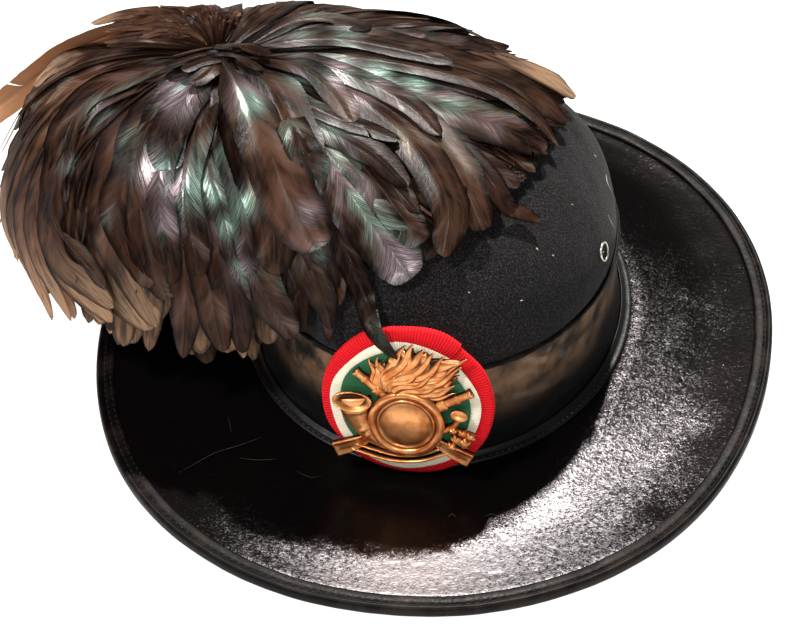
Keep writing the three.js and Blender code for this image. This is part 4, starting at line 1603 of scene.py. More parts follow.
def plume_facing(direction, run):
    """Outward unit normals of the plume's outer surface."""
    ahead = plume_place(direction, run + 0.01) - plume_place(direction, run - 0.01)
    around = plume_place(direction + 1.5, run) - plume_place(direction - 1.5, run)
    facing = unit(np.cross(around, ahead))
    angle = np.radians(direction)
    outward = np.stack([np.cos(angle), np.sin(angle), np.ones_like(angle)], axis=-1)
    sign = np.sign((facing * outward).sum(axis=-1, keepdims=True))
    return facing * np.where(sign == 0, 1, sign)


CANOPY_DIRECTIONS = np.arange(PLUME_START, PLUME_END + 1, 3.0)
CANOPY_RUNS = np.linspace(0.05, 1.15, 46)


class Canopy:
    """The plume's outer surface, raised by a few millimetres, for placing feathers by pixels."""

    def __init__(self, lift):
        directions, runs = np.meshgrid(CANOPY_DIRECTIONS, CANOPY_RUNS)
        self.facing = plume_facing(directions, runs)
        self.grid = plume_place(directions, runs) + self.facing * lift
        net = Net()
        net.add(self.grid)
        self.tree = net.ray_tree()

    def at(self, pixel_x, pixel_y):
        """The point seen at a pixel, or the nearest one to its sight line, with its normal."""
        line = sight_line(pixel_x, pixel_y)
        hit, normal, _, _ = self.tree.ray_cast(Vector(CAMERA_PLACE), Vector(line))
        if hit is not None:
            facing = np.array(normal)
            return np.array(hit), facing * (1 if facing @ sight < 0 else -1)
        away = self.grid - CAMERA_PLACE
        depth = away @ line
        gap = np.linalg.norm(away - depth[..., None] * line, axis=-1)
        row, column = np.unravel_index(np.argmin(gap), gap.shape)
        return CAMERA_PLACE + line * depth[row, column], self.facing[row, column]


def keep_off_crown(points, clear):
    """Moves points that lie in the crown, or nearer to it than clear, straight out of it."""
    across = points[..., 0]
    along = points[..., 1] - CROWN_CENTRE_Y
    above = points[..., 2] - CLOTH_FOOT
    flat = np.hypot(across / (CROWN_HALF_WIDTH + clear), along / (CROWN_HALF_LENGTH + clear))
    rise = np.maximum(above, 0) / (CROWN_RISE + clear)
    size = (flat**CROWN_ROUNDNESS + rise**CROWN_ROUNDNESS) ** (1 / CROWN_ROUNDNESS)
    push = np.where(size < 1, 1 / np.maximum(size, 0.3), 1)
    height = CLOTH_FOOT + np.where(above > 0, above * push, above)
    return np.stack([across * push, CROWN_CENTRE_Y + along * push, height], axis=-1)


COCKADE_REACH = 44
COCKADE_FADE = 8
COCKADE_CLEAR = 9


def keep_before_cockade(points):
    """Moves points that lie behind the cockade's face towards the camera, until they are clear."""
    across, up, out = np.moveaxis((points - COCKADE_PLACE) @ COCKADE_AXES.T, -1, 0)
    near = np.clip((COCKADE_REACH - np.hypot(across, up)) / COCKADE_FADE, 0, 1)
    ahead = (np.maximum(COCKADE_CLEAR - out, 0) / -(sight @ COCKADE_AXES[2])) * near
    return points - sight * ahead[..., None]


# Where the plume's gloss gathers, placed where highlights fall, so partly a painted highlight: the
# middle of each patch in pixels, its half width and strength
GLOSS_AND_HIGHLIGHT_PATCHES = table(
    "pixel_x pixel_y half strength",
    (180, 98, 15, 1.2),
    (151, 170, 14, 1.2),
    (186, 188, 20, 1.2),
    (168, 222, 12, 0.7),
    (212, 192, 9, 1.2),
    (226, 228, 9, 1.0),
    (242, 272, 10, 0.8),
    (244, 204, 11, 1.0),
    (248, 98, 13, 1.2),
    (309, 212, 10, 0.6),
    (322, 250, 9, 0.5),
    (402, 262, 15, 1.0),
    (384, 232, 10, 0.5),
    (360, 196, 12, 0.45),
    (332, 168, 10, 0.5),
    (330, 132, 11, 0.4),
    (302, 76, 11, 0.5),
    (340, 74, 12, 0.9),
    (378, 76, 12, 0.9),
    (416, 84, 11, 0.7),
    (360, 104, 11, 0.5),
    (452, 104, 12, 0.5),
    (494, 128, 9, 0.3),
    (300, 42, 12, 0.5),
    (350, 36, 11, 0.3),
    (69, 166, 8, 0.5),
    (98, 112, 12, 0.5),
    (128, 138, 9, 0.4),
    (108, 216, 7, 0.3),
    (385, 330, 9, 0.5),
)


GLOSS_AND_HIGHLIGHT_LIMIT = 1.2


def gloss_and_highlight(points):
    """How glossy the plume is at each point; the patches partly paint highlights."""
    pixel_x, pixel_y = pixels_of(points)
    total = np.zeros(pixel_x.shape)
    for x, y, half, strength in zip(*GLOSS_AND_HIGHLIGHT_PATCHES.values()):
        total += strength * bell_curve(np.hypot(pixel_x - x, pixel_y - y), half)
    return np.minimum(total, GLOSS_AND_HIGHLIGHT_LIMIT)


# Shares of the half width at which a vane has its points; the second one is the shaft's foot
VANE_SHARES = np.array([0.0, 0.06, 0.34, 0.66, 0.9, 1.0])
BARB_SLANT = 2.0
ROW_LENGTH = 3.3
FEWEST_ROWS = 10
MOST_ROWS = 46
NARROWEST_HALF = 0.25
WIDTH_SCATTER = 0.02
TWIST = 0.12
FIRST_SPLIT = 0.3
SPLIT_FADE = np.array([1.0, 0.6, 0.3, 0.12])
SHAFT_AT_TIP = 0.25
SHAFT_GROWTH = 0.55


def vane_width(run, root, blunt):
    """Half width of a feather along its length, as a share of the widest."""
    opened = np.clip(run / root, 0, 1)
    rise = 0.16 + 0.84 * opened**1.4 * (3 - 2 * opened)
    fall = np.clip((run - 0.55) / 0.45, 0, 1)
    return np.minimum(rise, 1) * np.maximum(1 - fall**blunt, 0) ** (1 / 1.7)


def add_feather(net, line, facing, half, draw, sheen, warm, blunt, splits, roll=0.0, camber=0.1,
                root=0.3, clear=2.6, gap=0.8):
    """Adds one feather: two vanes of slanted barbs, split here and there, with a raised shaft."""
    length = np.linalg.norm(np.diff(np.asarray(line), axis=0), axis=1).sum()
    count = int(np.clip(length / ROW_LENGTH, FEWEST_ROWS, MOST_ROWS))
    both = even_curve(np.concatenate([line, facing], axis=1), count)
    places = both[:, :3]
    ahead = unit(np.gradient(places, axis=0))
    above = both[:, 3:] - (both[:, 3:] * ahead).sum(axis=1, keepdims=True) * ahead
    above = unit(above)
    side = np.cross(ahead, above)
    turn = math.radians(roll)
    side, above = (side * math.cos(turn) + above * math.sin(turn),
                   above * math.cos(turn) - side * math.sin(turn))
    run = np.linspace(0, 1, count)
    seed = draw.uniform()
    twist = draw.normal() * TWIST
    for hand in (-1, 1):
        width = half * vane_width(run, root, blunt) * (1 + WIDTH_SCATTER * draw.normal(size=count))
        width = np.maximum(width, NARROWEST_HALF)
        low = max(4, int(count * FIRST_SPLIT))
        spots = np.arange(low, count - 3)
        number = min(int(splits * draw.uniform(0.3, 1.2)), len(spots) // 4)
        breaks = np.sort(draw.choice(spots, number, replace=False)) if number > 0 else []
        ends = [0, *map(int, breaks), count - 1]
        for first, last in zip(ends[:-1], ends[1:]):
            if last <= first:
                continue
            rows = np.arange(first, last + 1)
            shift = np.zeros(len(rows))
            fade = SPLIT_FADE[:len(rows)]
            if first > 0:
                shift[:len(fade)] += fade * draw.uniform(0.3, 1) * gap
            if last < count - 1:
                shift[len(rows) - len(fade):] -= fade[::-1] * draw.uniform(0.3, 1) * gap
            depth = draw.uniform(0.05, 0.5)
            spread = np.clip((VANE_SHARES - depth) / (1 - depth), 0, 1)
            reach = width[rows, None] * VANE_SHARES
            left = (1 - run[rows, None]) * length + 0.3 * reach + 0.1
            slant = BARB_SLANT * reach
            drift = slant * left / (slant + left) + shift[:, None] * spread
            sag = camber * reach * VANE_SHARES + 0.25 * np.abs(shift[:, None]) * spread
            sag = sag + hand * twist * reach
            shaft = np.zeros(len(VANE_SHARES))
            shaft[0] = 1.0
            ridge = (SHAFT_AT_TIP + SHAFT_GROWTH * (1 - run[rows, None])) * shaft
            grid = (places[rows, None]
                    + hand * side[rows, None] * reach[..., None]
                    + ahead[rows, None] * drift[..., None]
                    + above[rows, None] * (ridge - sag)[..., None])
            grid = keep_before_cockade(keep_off_crown(grid, clear))
            along = (run[rows, None] * length) * MILLIMETRE
            across = hand * reach * MILLIMETRE
            detail = np.stack(np.broadcast_arrays(across, along, seed, run[rows, None]), axis=-1)
            # Gloss that is partly painted highlight
            glow = gloss_and_highlight(grid)
            tint = np.stack(np.broadcast_arrays(sheen, warm, VANE_SHARES, glow), axis=-1)
            if hand < 0:
                grid, detail, tint = grid[:, ::-1], detail[:, ::-1], tint[:, ::-1]
            net.add(grid, detail=detail, tint=tint)


# The feathers that show one by one: the line of the shaft in pixels, half width, height over the
# plume's outer surface, gloss, warmth, bluntness of the tip, roll in degrees, splits, camber, and
# the share of its length over which its root opens
def shown(path, half, lift, sheen, warm, blunt=2.4, roll=0.0, splits=1, camber=0.13, root=0.22):
    return {"path": path, "half": half, "lift": lift, "sheen": sheen, "warm": warm, "root": root,
            "blunt": blunt, "roll": roll, "splits": splits, "camber": camber}


SHOWN_FEATHERS = [
    # Outer left fringe, thin and lit through
    shown([(190, 60), (110, 66), (50, 105), (14, 160), (3, 210), (18, 262)], 6, 1, 0.1, 1.0),
    shown([(192, 62), (120, 74), (60, 112), (24, 165), (14, 225), (42, 300)], 6, 1, 0.1, 1.0),
    shown([(193, 62), (130, 80), (62, 125), (30, 180), (24, 240), (52, 320)], 6, 1, 0.1, 0.9),
    shown([(194, 64), (135, 84), (70, 130), (38, 190), (36, 250), (71, 321)], 6, 1.5, 0.1, 0.9),
    shown([(195, 66), (140, 88), (84, 140), (60, 200), (62, 262), (112, 322)], 7, 1, 0.1, 1.0),
    shown([(190, 64), (100, 76), (45, 120), (18, 170), (16, 220), (45, 300)], 10, -3, 0.2, 0.9),
    shown([(190, 66), (110, 86), (60, 135), (36, 190), (38, 250), (75, 318)], 11, -3, 0.2, 1.0),
    shown([(190, 66), (120, 90), (78, 140), (62, 200), (68, 260), (105, 322)], 11, -3, 0.2, 1.0),
    shown([(196, 70), (150, 110), (120, 160), (108, 220), (120, 280), (150, 330)], 11, -2, 0.2, 0.8),
    # Left body
    shown([(196, 68), (150, 80), (80, 130), (55, 190), (58, 250), (113, 308)], 7.5, 2, 0.2, 0.7),
    shown([(196, 70), (110, 96), (66, 150), (55, 184), (56, 226), (106, 288)], 6.5, 2.5, 0.25, 0.5),
    shown([(200, 62), (160, 68), (110, 84), (78, 112), (62, 150), (52, 215)], 8, 3, 0.55, 0.5),
    shown([(202, 66), (180, 80), (135, 118), (114, 172), (112, 230), (156, 327)], 8, 3, 0.2, 0.7),
    shown([(204, 66), (186, 78), (156, 112), (140, 150), (126, 205), (149, 288)], 8.5, 3.5, 0.3, 0.5,
          blunt=1.8),
    shown([(204, 68), (175, 105), (150, 150), (140, 200), (150, 255), (168, 300)], 8, 2.5, 0.3, 0.4),
    # Bottom tips
    shown([(208, 66), (180, 120), (158, 180), (150, 240), (152, 290), (155, 326)], 6, 1.5, 0.2, 0.6),
    shown([(210, 66), (190, 150), (184, 220), (186, 290), (183, 358)], 7, 2, 0.25, 0.5, blunt=1.6),
    shown([(210, 66), (176, 120), (160, 165), (160, 215), (172, 285)], 7, 3, 0.8, 0.3),
    shown([(212, 66), (205, 140), (202, 220), (212, 300), (223, 352)], 7, 2.5, 0.3, 0.5),
    shown([(212, 68), (198, 120), (186, 170), (188, 215), (200, 275)], 7, 3.5, 0.9, 0.3),
    shown([(214, 66), (212, 150), (220, 240), (234, 300), (242, 353)], 7, 2.5, 0.3, 0.4),
    shown([(206, 62), (196, 80), (182, 104), (170, 132), (166, 170)], 7.5, 4.5, 1.0, 0.1, splits=0),
    shown([(212, 64), (209, 96), (206, 120), (208, 150), (213, 185)], 4.5, 4, 0.9, 0.1),
    shown([(218, 64), (219, 140), (231, 210), (258, 280), (293, 339)], 8.5, 2.5, 0.5, 0.4),
    shown([(220, 62), (208, 150), (220, 205), (232, 250), (250, 300)], 4.0, 4, 0.9, 0.2),
    shown([(222, 62), (228, 130), (240, 185), (246, 225), (250, 276)], 6, 4, 1.0, 0.1),
    shown([(228, 60), (268, 130), (294, 200), (320, 262), (336, 338)], 6.5, 2, 0.3, 0.5),
    shown([(228, 60), (262, 130), (288, 200), (304, 256), (318, 290), (334, 326)], 7, 3, 0.6, 0.3),
    shown([(226, 62), (246, 130), (262, 180), (273, 225), (274, 274)], 9, 4, 0.25, 0.5, blunt=3),
    # The feather that hangs down to the cockade
    shown([(230, 58), (282, 110), (318, 180), (340, 240), (362, 290), (380, 318), (400, 350)], 5.5, 3,
          0.7, 0.2, splits=4),
    # Over the crown
    shown([(236, 58), (292, 90), (350, 145), (392, 185), (418, 212)], 6, 1, 0.5, 0.3),
    shown([(236, 58), (310, 112), (368, 172), (400, 214), (422, 243)], 8, 2, 0.6, 0.3, blunt=4,
          splits=5),
    shown([(240, 57), (330, 92), (400, 122), (446, 160), (474, 195), (502, 194)], 3, 1, 0.2, 0.5),
    shown([(243, 56), (340, 74), (420, 112), (474, 160), (503, 198), (522, 222)], 5, 1.5, 0.3, 0.4,
          splits=6),
    shown([(243, 56), (330, 72), (400, 108), (445, 150), (466, 190), (484, 230)], 7.5, 2, 0.3, 0.5,
          blunt=5),
    shown([(242, 56), (320, 74), (382, 112), (424, 155), (448, 205), (444, 257)], 9, 3, 0.45, 0.5,
          blunt=2, splits=3),
    shown([(236, 58), (300, 120), (345, 186), (378, 232), (411, 278)], 10, 4, 0.9, 0.2, blunt=4,
          splits=3),
    shown([(238, 58), (300, 110), (338, 132), (372, 152), (408, 186)], 6, 5, 0.9, 0.1, splits=3),
    shown([(240, 58), (296, 96), (338, 116), (370, 128), (400, 140)], 5, 5.5, 0.9, 0.1, splits=3),
    shown([(240, 57), (300, 66), (334, 92), (353, 122)], 5.5, 6, 0.2, 0.5, splits=1),
    # Spray to the right
    shown([(240, 46), (310, 16), (371, 10), (430, 18), (480, 36), (552, 82)], 6.5, 0, 0.2, 0.7),
    shown([(242, 52), (350, 26), (430, 34), (500, 56), (545, 75), (576, 96)], 8, 0.5, 0.1, 1.0,
          blunt=3.5),
    shown([(242, 53), (340, 40), (426, 54), (515, 84), (567, 122)], 8.5, 1.5, 0.2, 0.4, blunt=2),
    shown([(244, 54), (350, 56), (430, 68), (490, 86), (533, 114), (558, 146)], 5.5, 2.5, 0.3, 0.4,
          blunt=1.6),
    shown([(240, 56), (300, 64), (360, 80), (430, 102), (490, 122), (547, 148)], 10, 3, 0.6, 0.3,
          splits=2),
    shown([(240, 57), (300, 60), (360, 78), (410, 104), (440, 135)], 5.5, 4.5, 0.7, 0.3),
    shown([(240, 50), (280, 26), (310, 18), (340, 20), (370, 28)], 5.5, 4, 0.6, 0.3),
    shown([(236, 52), (290, 40), (340, 38), (400, 48), (453, 62)], 5.5, 5, 0.9, 0.2),
    # Top of the knot
    shown([(234, 60), (270, 84), (298, 140), (311, 206)], 8.0, 7, 0.1, 0.5, splits=1, camber=0.08),
    shown([(222, 58), (242, 92), (266, 142), (286, 190), (318, 249)], 10.4, 11.5, 0.1, 0.5, blunt=2.6,
          splits=0, camber=0.08, root=0.1, roll=8),
    shown([(224, 56), (214, 66), (202, 76), (190, 82)], 4, 8, 0.3, 0.4, splits=0),
    shown([(232, 50), (214, 48), (196, 50), (172, 56)], 3.5, 9, 0.0, 0.1, splits=0),
    shown([(230, 56), (212, 54), (196, 56), (166, 66)], 3.5, 9, 0.0, 0.1, splits=0),
    shown([(228, 60), (214, 60), (202, 62), (182, 70)], 3.2, 9, 0.0, 0.1, splits=0),
    shown([(210, 50), (224, 46), (244, 46), (270, 54)], 3.5, 9, 0.2, 0.2, splits=0),
    shown([(206, 56), (222, 54), (240, 58), (262, 70)], 3.2, 9, 0.2, 0.2, splits=0),
    shown([(205, 44), (186, 22), (160, 13), (125, 14), (91, 23)], 4.5, 9, 0.1, 0.8, splits=1),
]

# Layers of seeded feathers that fill the plume all round the knot: height over its surface, step
# in degrees, shortest and longest reach, half width and gloss
FILLER_LAYERS = table(
    "lift step low high half sheen",
    (-8.0, 6.0, 0.96, 1.1, 9.5, 0.1),
    (-6.0, 5.0, 0.92, 1.08, 9.0, 0.2),
    (-4.0, 5.0, 0.88, 1.06, 8.5, 0.3),
    (-2.2, 5.0, 0.80, 1.04, 8.0, 0.4),
    (-0.8, 6.0, 0.70, 1.0, 7.5, 0.5),
    (0.6, 8.0, 0.74, 0.9, 7.0, 0.6),
)
STRAND_COUNT = 260

# Directions between which feathers hang over the side, and are warmer and longer
HANGING_LOW = -292
HANGING_HIGH = -66

# Shown feathers that are wider than a strand are drawn this much wider
STRAND_HALF = 4.2
WIDENING = 1.2

SHOWN_SEED = 71
FILLER_SEED = 29


def bunch_of(direction):
    turned = float(wrapped_direction(direction))
    for row in BUNCHES:
        if row["from"] <= turned <= row["to"]:
            return row["name"]
    return "plume_back"


def add_shown_feathers(nets):
    canopies = {}
    draw = np.random.default_rng(SHOWN_SEED)
    for row in SHOWN_FEATHERS:
        lift = row["lift"]
        if lift not in canopies:
            canopies[lift] = Canopy(lift)
        found = [canopies[lift].at(x, y) for x, y in row["path"]]
        line = np.array([place for place, _ in found])
        facing = np.array([normal for _, normal in found])
        middle = line[len(line) // 2] - KNOT
        direction = math.degrees(math.atan2(middle[1], middle[0]))
        settings = {key: row[key]
                    for key in ("half", "sheen", "warm", "blunt", "roll", "splits", "camber", "root")}
        if row["half"] > STRAND_HALF:
            settings["half"] = WIDENING * row["half"]
        add_feather(nets[bunch_of(direction)], line, facing, draw=draw,
                    clear=3 + max(lift, 0) * 0.8, **settings)


def add_filler(nets, draw, direction, lift, reach, half, sheen, warm, splits, start=0.05):
    """Adds one seeded feather that follows the plume's surface."""
    runs = np.linspace(start, reach, 7)
    bend = draw.normal() * 5
    directions = direction + bend * (runs / reach) ** 2
    line = plume_place(directions, runs) + plume_facing(directions, runs) * (
        lift * np.clip(runs / 0.3, 0.2, 1)[:, None] + draw.normal() * 0.4
    )
    facing = plume_facing(directions, runs)
    add_feather(nets[bunch_of(direction)], line, facing, half, draw, sheen=sheen, warm=warm,
                blunt=draw.uniform(1.8, 3.4), roll=draw.normal() * 7, splits=splits,
                clear=2.8 + max(lift + 8, 0) * 0.35)


def add_fillers(nets):
    draw = np.random.default_rng(FILLER_SEED)
    for lift, step, low, high, half, sheen in zip(*FILLER_LAYERS.values()):
        for direction in np.arange(PLUME_START, PLUME_END, step):
            where = direction + draw.uniform(-0.5, 0.5) * step
            hanging = HANGING_LOW < where < HANGING_HIGH
            reach = draw.uniform(low, high)
            warm = draw.uniform(0.4, 1.0) if hanging else draw.uniform(0.1, 0.5)
            add_filler(nets, draw, where, lift, min(reach, 1.08 if hanging else 1.0),
                       half * draw.uniform(0.75, 1.2), sheen * draw.uniform(0.2, 1.9), warm, 1)
    for _ in range(STRAND_COUNT):
        where = draw.uniform(PLUME_START, PLUME_END)
        add_filler(nets, draw, where, draw.uniform(-2, 1.5), draw.uniform(0.6, 1.0),
                   draw.uniform(0.8, 2.2), draw.uniform(0.2, 1), draw.uniform(0.1, 0.8), 0,
                   draw.uniform(0.05, 0.4))


def make_plume(material):
    nets = {row["name"]: Net() for row in BUNCHES}
    add_fillers(nets)
    add_shown_feathers(nets)
    for name, net in nets.items():
        net.make(name + "_feathers", material, name, "feather", weld=False)


# The stray feather's course: the pixels of its shaft, and how far it lies behind the knot
LONG_FEATHER = table(
    "pixel_x pixel_y back",
    (196, 50, 0),
    (160, 34, 2),
    (118, 34, 6),
    (74, 52, 9),
    (36, 78, 12),
    (-4, 110, 15),
    (-30, 136, 18),
)
LONG_FEATHER_TILT = math.radians(35)
LONG_FEATHER_HALF = 7.2
LONG_FEATHER_SEED = 5


def make_long_feather(material):
    places = []
    for pixel_x, pixel_y, back in zip(*LONG_FEATHER.values()):
        line = sight_line(pixel_x, pixel_y)
        reach = (KNOT[1] + back - CAMERA_PLACE[1]) / line[1]
        places.append(CAMERA_PLACE + line * reach)
    line = np.array(places)
    turned = np.array([0.0, -math.sin(LONG_FEATHER_TILT), math.cos(LONG_FEATHER_TILT)])
    facing = np.broadcast_to(turned, line.shape)
    net = Net()
    draw = np.random.default_rng(LONG_FEATHER_SEED)
    add_feather(net, line, facing, LONG_FEATHER_HALF, draw, sheen=0.0, warm=1.0, blunt=2.2,
                splits=1, camber=0.1, root=0.6)
    net.make("plume_long_feather_vanes", material, "plume_long_feather", "feather", weld=False)


# The tuft's feathers lie between two directions, in degrees, and reach further out towards the
# second one
TUFT_FEATHERS = 340
TUFT_SEED = 17
TUFT_DIRECTIONS = (66, 192)
TUFT_NEAR_REACH = 17
TUFT_MORE_REACH = 31
TUFT_MORE_FROM = 105
TUFT_MORE_OVER = 65
TUFT_HEIGHT = 16


def make_tuft(material):
    """Soft narrow feathers that stand up over the knot and lean to the back and the right."""
    draw = np.random.default_rng(TUFT_SEED)
    net = Net()
    for _ in range(TUFT_FEATHERS):
        turned = draw.uniform(*TUFT_DIRECTIONS)
        bearing = math.radians(turned)
        further = np.clip((turned - TUFT_MORE_FROM) / TUFT_MORE_OVER, 0, 1)
        longest = TUFT_NEAR_REACH + TUFT_MORE_REACH * further
        out = longest * draw.uniform(0.35, 1.0)
        rise = (TUFT_HEIGHT - 0.1 * out) * draw.uniform(0.6, 1.0)
        heading = np.array([math.cos(bearing), math.sin(bearing), 0.0])
        root = KNOT + heading * 2 + (0, 0, 3)
        bow = np.array([-heading[1], heading[0], 0.0]) * draw.normal() * out * 0.07
        line = np.array([
            root,
            root + heading * out * 0.22 + (0, 0, rise * 0.6) + bow * 0.5,
            root + heading * out * 0.6 + (0, 0, rise) + bow,
            root + heading * out + (0, 0, rise * 0.72),
        ])
        facing = np.broadcast_to(unit((0.1, -0.5, 0.9)) + heading * 0.2, line.shape)
        add_feather(net, line, facing, draw.uniform(0.9, 2.4), draw, sheen=0.05,
                    warm=draw.uniform(0.4, 0.6), blunt=2.4, roll=draw.normal() * 24, splits=0,
                    root=0.5, gap=0.6)
    net.make("plume_tuft_feathers", material, "plume_tuft", "feather", weld=False)


STEM_FOOT_CLEAR = 2.1
STEM_FOOT_HEIGHT = 20
STEM_PIPING_CLEAR = 2.6
STEM_LINE = np.array([
    (-(CROWN_HALF_WIDTH + STEM_RADIUS + STEM_FOOT_CLEAR), KNOT[1] / 2, STEM_FOOT_HEIGHT),
    (-(CROWN_HALF_WIDTH + STEM_RADIUS + STEM_PIPING_CLEAR), KNOT[1] * 0.7, PIPING_HEIGHT),
    KNOT,
])
STEM_STEPS = 120
STEM_SIDES = 20
WINDING_PITCH = 1.1
WINDING_DEPTH = 0.15
KNOT_WINDINGS = 40
KNOT_WINDING_DEPTH = 0.2


def make_stem(material):
    """The hidden post and the wound knot that the feathers spring from."""
    places = even_curve(STEM_LINE, STEM_STEPS)
    ahead = unit(np.gradient(places, axis=0))
    side = unit(np.cross(ahead, (0, 1, 0)))
    up = np.cross(side, ahead)
    turns = all_round(STEM_SIDES)
    length = np.linalg.norm(np.diff(places, axis=0), axis=1).sum()
    along = np.linspace(0, length, len(places))[:, None]
    winding = np.cos(TURN * along / WINDING_PITCH + turns)
    radius = STEM_RADIUS - WINDING_DEPTH + WINDING_DEPTH * winding
    ring = np.cos(turns)[None, :, None] * side[:, None] + np.sin(turns)[None, :, None] * up[:, None]
    net = Net()
    net.add_capped(places[:, None] + radius[..., None] * ring)
    tilt = np.linspace(-math.pi / 2, math.pi / 2, 60)[1:-1, None]
    round_turns = all_round(48)
    winding = np.cos(KNOT_WINDINGS * tilt + round_turns)
    radius = KNOT_RADIUS - KNOT_WINDING_DEPTH + KNOT_WINDING_DEPTH * winding
    knot = np.stack(np.broadcast_arrays(
        radius * np.cos(tilt) * np.cos(round_turns),
        radius * np.cos(tilt) * np.sin(round_turns),
        radius * np.sin(tilt),
    ), axis=-1)
    net.add_capped(KNOT + knot)
    net.make("plume_stem_winding", material, "plume_stem", "stem")


def make_feather_material(name, lit_through=None, pale=paint(64, 44, 34)):
    """Brown-black cock feather: fine slanted barbs, mint and violet gloss, tan where light shows
    through the tips."""
    shade = Shade(name)
    across, along, seed, run = shade.attribute("detail")
    sheen, warm, edge, glow = shade.attribute("tint")
    aside = shade.math("ABSOLUTE", across)
    offset = shade.times(seed, 0.5)
    streaks = shade.point(along, shade.times(aside, 0.06), offset)
    barbs = shade.noise(0.42, 2, 0.7, streaks)
    long_streaks = shade.point(shade.times(along, 0.1), aside, offset)
    strands = shade.noise(1.7, 3, 0.6, long_streaks)
    clouds = shade.noise(20, 3, 0.55, shade.point(along, across, offset))
    dark = shade.mix(shade.between(strands, 0.35, 0.7), paint(5, 3, 3), paint(40, 27, 22))
    colour = shade.mix(shade.between(barbs, 0.5, 0.75, 0, 0.5), dark, pale)
    brown = shade.times(warm, shade.between(clouds, 0.35, 0.7, 0.0, 0.7))
    colour = shade.mix(brown, colour, paint(114, 76, 56))
    tips = shade.times(shade.between(warm, 0.45, 1.0), shade.between(run, 0.68, 1.0))
    tips = shade.times(tips, shade.between(strands, 0.36, 0.6, 0.3, 1.0))
    colour = shade.mix(shade.times(tips, 0.85), colour, paint(224, 184, 148))
    shaft = shade.between(aside, 0.0001, 0.00045, 1, 0)
    shaft = shade.times(shaft, shade.between(run, 0.3, 0.95, 0.6, 0.15))
    colour = shade.mix(shaft, colour, paint(84, 62, 50))
    # Painted shade: the roots, under the feathers that lie over them, and the vanes' edges, in the gaps
    # between feathers, are darkened towards black.
    hidden = shade.between(run, 0.02, 0.4, 0.7, 0.0)
    rim = shade.math("MAXIMUM", shade.between(edge, 0.66, 1.0, 0, 0.88), hidden)
    colour = shade.mix(rim, colour, paint(6, 4, 4))
    patches = shade.between(clouds, 0.5, 0.7, 0.0, 0.3)
    lines = shade.between(barbs, 0.38, 0.58, 0.12, 1)
    # Gathered gloss is partly painted highlight: where highlights fall it pales the colour to mint and
    # makes it metallic.
    gathered = shade.times(glow, shade.between(clouds, 0.3, 0.55, 0.3, 1.0))
    gloss = shade.math("ADD", shade.times(sheen, patches), gathered, clamp=True)
    gloss = shade.times(gloss, lines)
    hue = shade.noise(24, 2, 0.5, shade.point(offset, along, across))
    tint = shade.mix(shade.between(hue, 0.4, 0.6), paint(196, 178, 186), paint(170, 208, 192))
    colour = shade.mix(shade.times(gloss, 0.85), colour, tint)
    rough = shade.between(barbs, 0.3, 0.7, 0.17, 0.33)
    normal = shade.bump(strands, 0.06)
    normal = shade.bump(barbs, 0.08, normal)
    body = shade.node("BsdfPrincipled", {
        "Base Color": colour,
        "Roughness": rough,
        "Metallic": shade.times(gloss, 0.85),
        "Specular IOR Level": 0.0,
        "Coat Weight": 0.16,
        "Coat Roughness": 0.26,
        "Coat IOR": 1.5,
        "Coat Normal": normal,
        "Normal": normal,
    }).outputs[0]
    through = shade.node("BsdfTranslucent", {"Color": paint(232, 168, 120), "Normal": normal}).outputs[0]
    thin = lit_through or shade.times(tips, 0.6)
    mixed = shade.node("MixShader", {0: thin, 1: body, 2: through}).outputs[0]
    return shade.finish(mixed)


# Light and floor

KEY_POWER = 5.5
KEY_SPREAD = math.radians(2.5)
KEY_COLOUR = (1.0, 0.97, 0.93)
WORLD_POWER = 0.08
WORLD_COLOUR = (0.9, 0.95, 1.0, 1.0)
FLOOR_HALF = 3.0

# Soft lights: where they shine from, how far off and how wide in metres, and their power in watts
SOFT_LIGHTS = [
    {"name": "front_lamp", "from": (0.25, -1.0, 0.9), "distance": 2.2, "width": 0.3, "height": 0.3,
     "power": 14, "colour": (1.0, 0.98, 0.95)},
    {"name": "top_lamp", "from": (-0.35, -0.42, 0.85), "distance": 2.2, "width": 0.3, "height": 0.3,
     "power": 30, "colour": (1.0, 0.98, 0.96)},
    {"name": "left_fill", "from": (-1.2, -0.3, 1.1), "distance": 2.0, "width": 1.4, "height": 1.2,
     "power": 4, "colour": (1.0, 0.97, 0.93)},
]


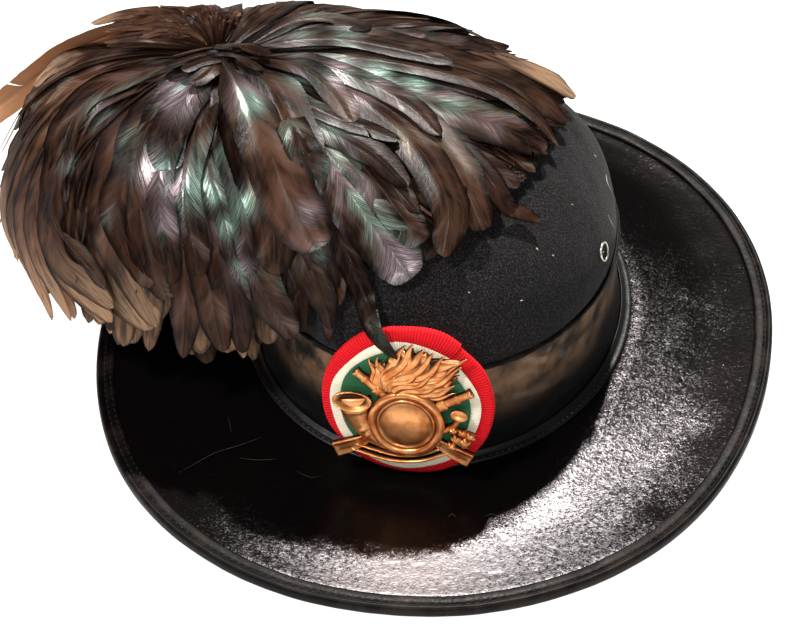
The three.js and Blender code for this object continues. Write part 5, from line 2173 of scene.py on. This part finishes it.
def make_light():
    scene = bpy.context.scene
    scene.view_settings.view_transform = "Standard"
    world = bpy.data.worlds.new("studio")
    world.use_nodes = True
    background = world.node_tree.nodes["Background"]
    background.inputs[0].default_value = WORLD_COLOUR
    background.inputs[1].default_value = WORLD_POWER
    scene.world = world

    key = bpy.data.lights.new("key", "SUN")
    key.energy = KEY_POWER
    key.angle = KEY_SPREAD
    key.color = KEY_COLOUR
    lamp = bpy.data.objects.new("key", key)
    lamp.rotation_euler = Vector(KEY_DIRECTION).to_track_quat("Z", "Y").to_euler()
    scene.collection.objects.link(lamp)

    for row in SOFT_LIGHTS:
        data = bpy.data.lights.new(row["name"], "AREA")
        data.shape = "RECTANGLE"
        data.size = row["width"]
        data.size_y = row["height"]
        data.energy = row["power"]
        data.color = row["colour"]
        lamp = bpy.data.objects.new(row["name"], data)
        place = unit(row["from"]) * row["distance"]
        lamp.location = place
        lamp.rotation_euler = Vector(place).to_track_quat("Z", "Y").to_euler()
        scene.collection.objects.link(lamp)


def make_floor():
    shade = Shade("floor_paper")
    tone = shade.mix(shade.noise(60, 2), (0.3, 0.3, 0.3, 1), (0.34, 0.34, 0.34, 1))
    material = shade.surface(
        Base_Color=tone, Roughness=0.9, Emission_Color=(1, 0.99, 0.98, 1), Emission_Strength=0.97
    )
    mesh = bpy.data.meshes.new("floor")
    signs = [(-1, -1), (1, -1), (1, 1), (-1, 1)]
    corners = [(x * FLOOR_HALF, y * FLOOR_HALF, cad_box[0][2]) for x, y in signs]
    mesh.from_pydata(corners, [], [(0, 1, 2, 3)])
    mesh.materials.append(material)
    floor = bpy.data.objects.new("floor", mesh)
    bpy.context.scene.collection.objects.link(floor)


def main():
    make_camera()
    leather = make_brim_leather()
    binding = make_binding_leather()
    band = make_band_leather()
    thread = make_plain("thread_brown", paint(48, 42, 37), 0.8, 3)
    pale_thread = make_plain("thread_pale", paint(150, 144, 132), 0.8, 3)
    nickel = make_nickel()
    # Near-black finish that paints the shade inside the vent's hole
    dark = make_plain("vent_painted_shade", paint(8, 8, 8), 0.9, 2)
    brim_tree = make_brim(leather)
    make_binding(binding, thread)
    crown_tree = make_crown(make_cloth())
    make_band(band)
    make_piping(binding)
    make_welt(band, pale_thread)
    make_vent(nickel, dark)
    scratch = make_plain("leather_scratch", paint(80, 68, 60), 0.7, 3)
    lint = make_plain("lint", paint(196, 188, 170), 0.9, 2)
    make_threads("brim_scratches", BRIM_SCRATCHES, brim_tree, scratch, "leather")
    make_threads("crown_fibres", CLOTH_FIBRES, crown_tree, lint, "cloth")
    make_cockade()
    make_badge(make_brass())
    feather = make_feather_material("feather")
    make_plume(feather)
    make_long_feather(make_feather_material("long_feather", 0.5))
    make_tuft(make_feather_material("tuft", 0.18, paint(150, 114, 108)))
    make_stem(make_plain("stem_thread", paint(40, 44, 52), 0.7, 2))
    make_light()
    make_floor()


main()
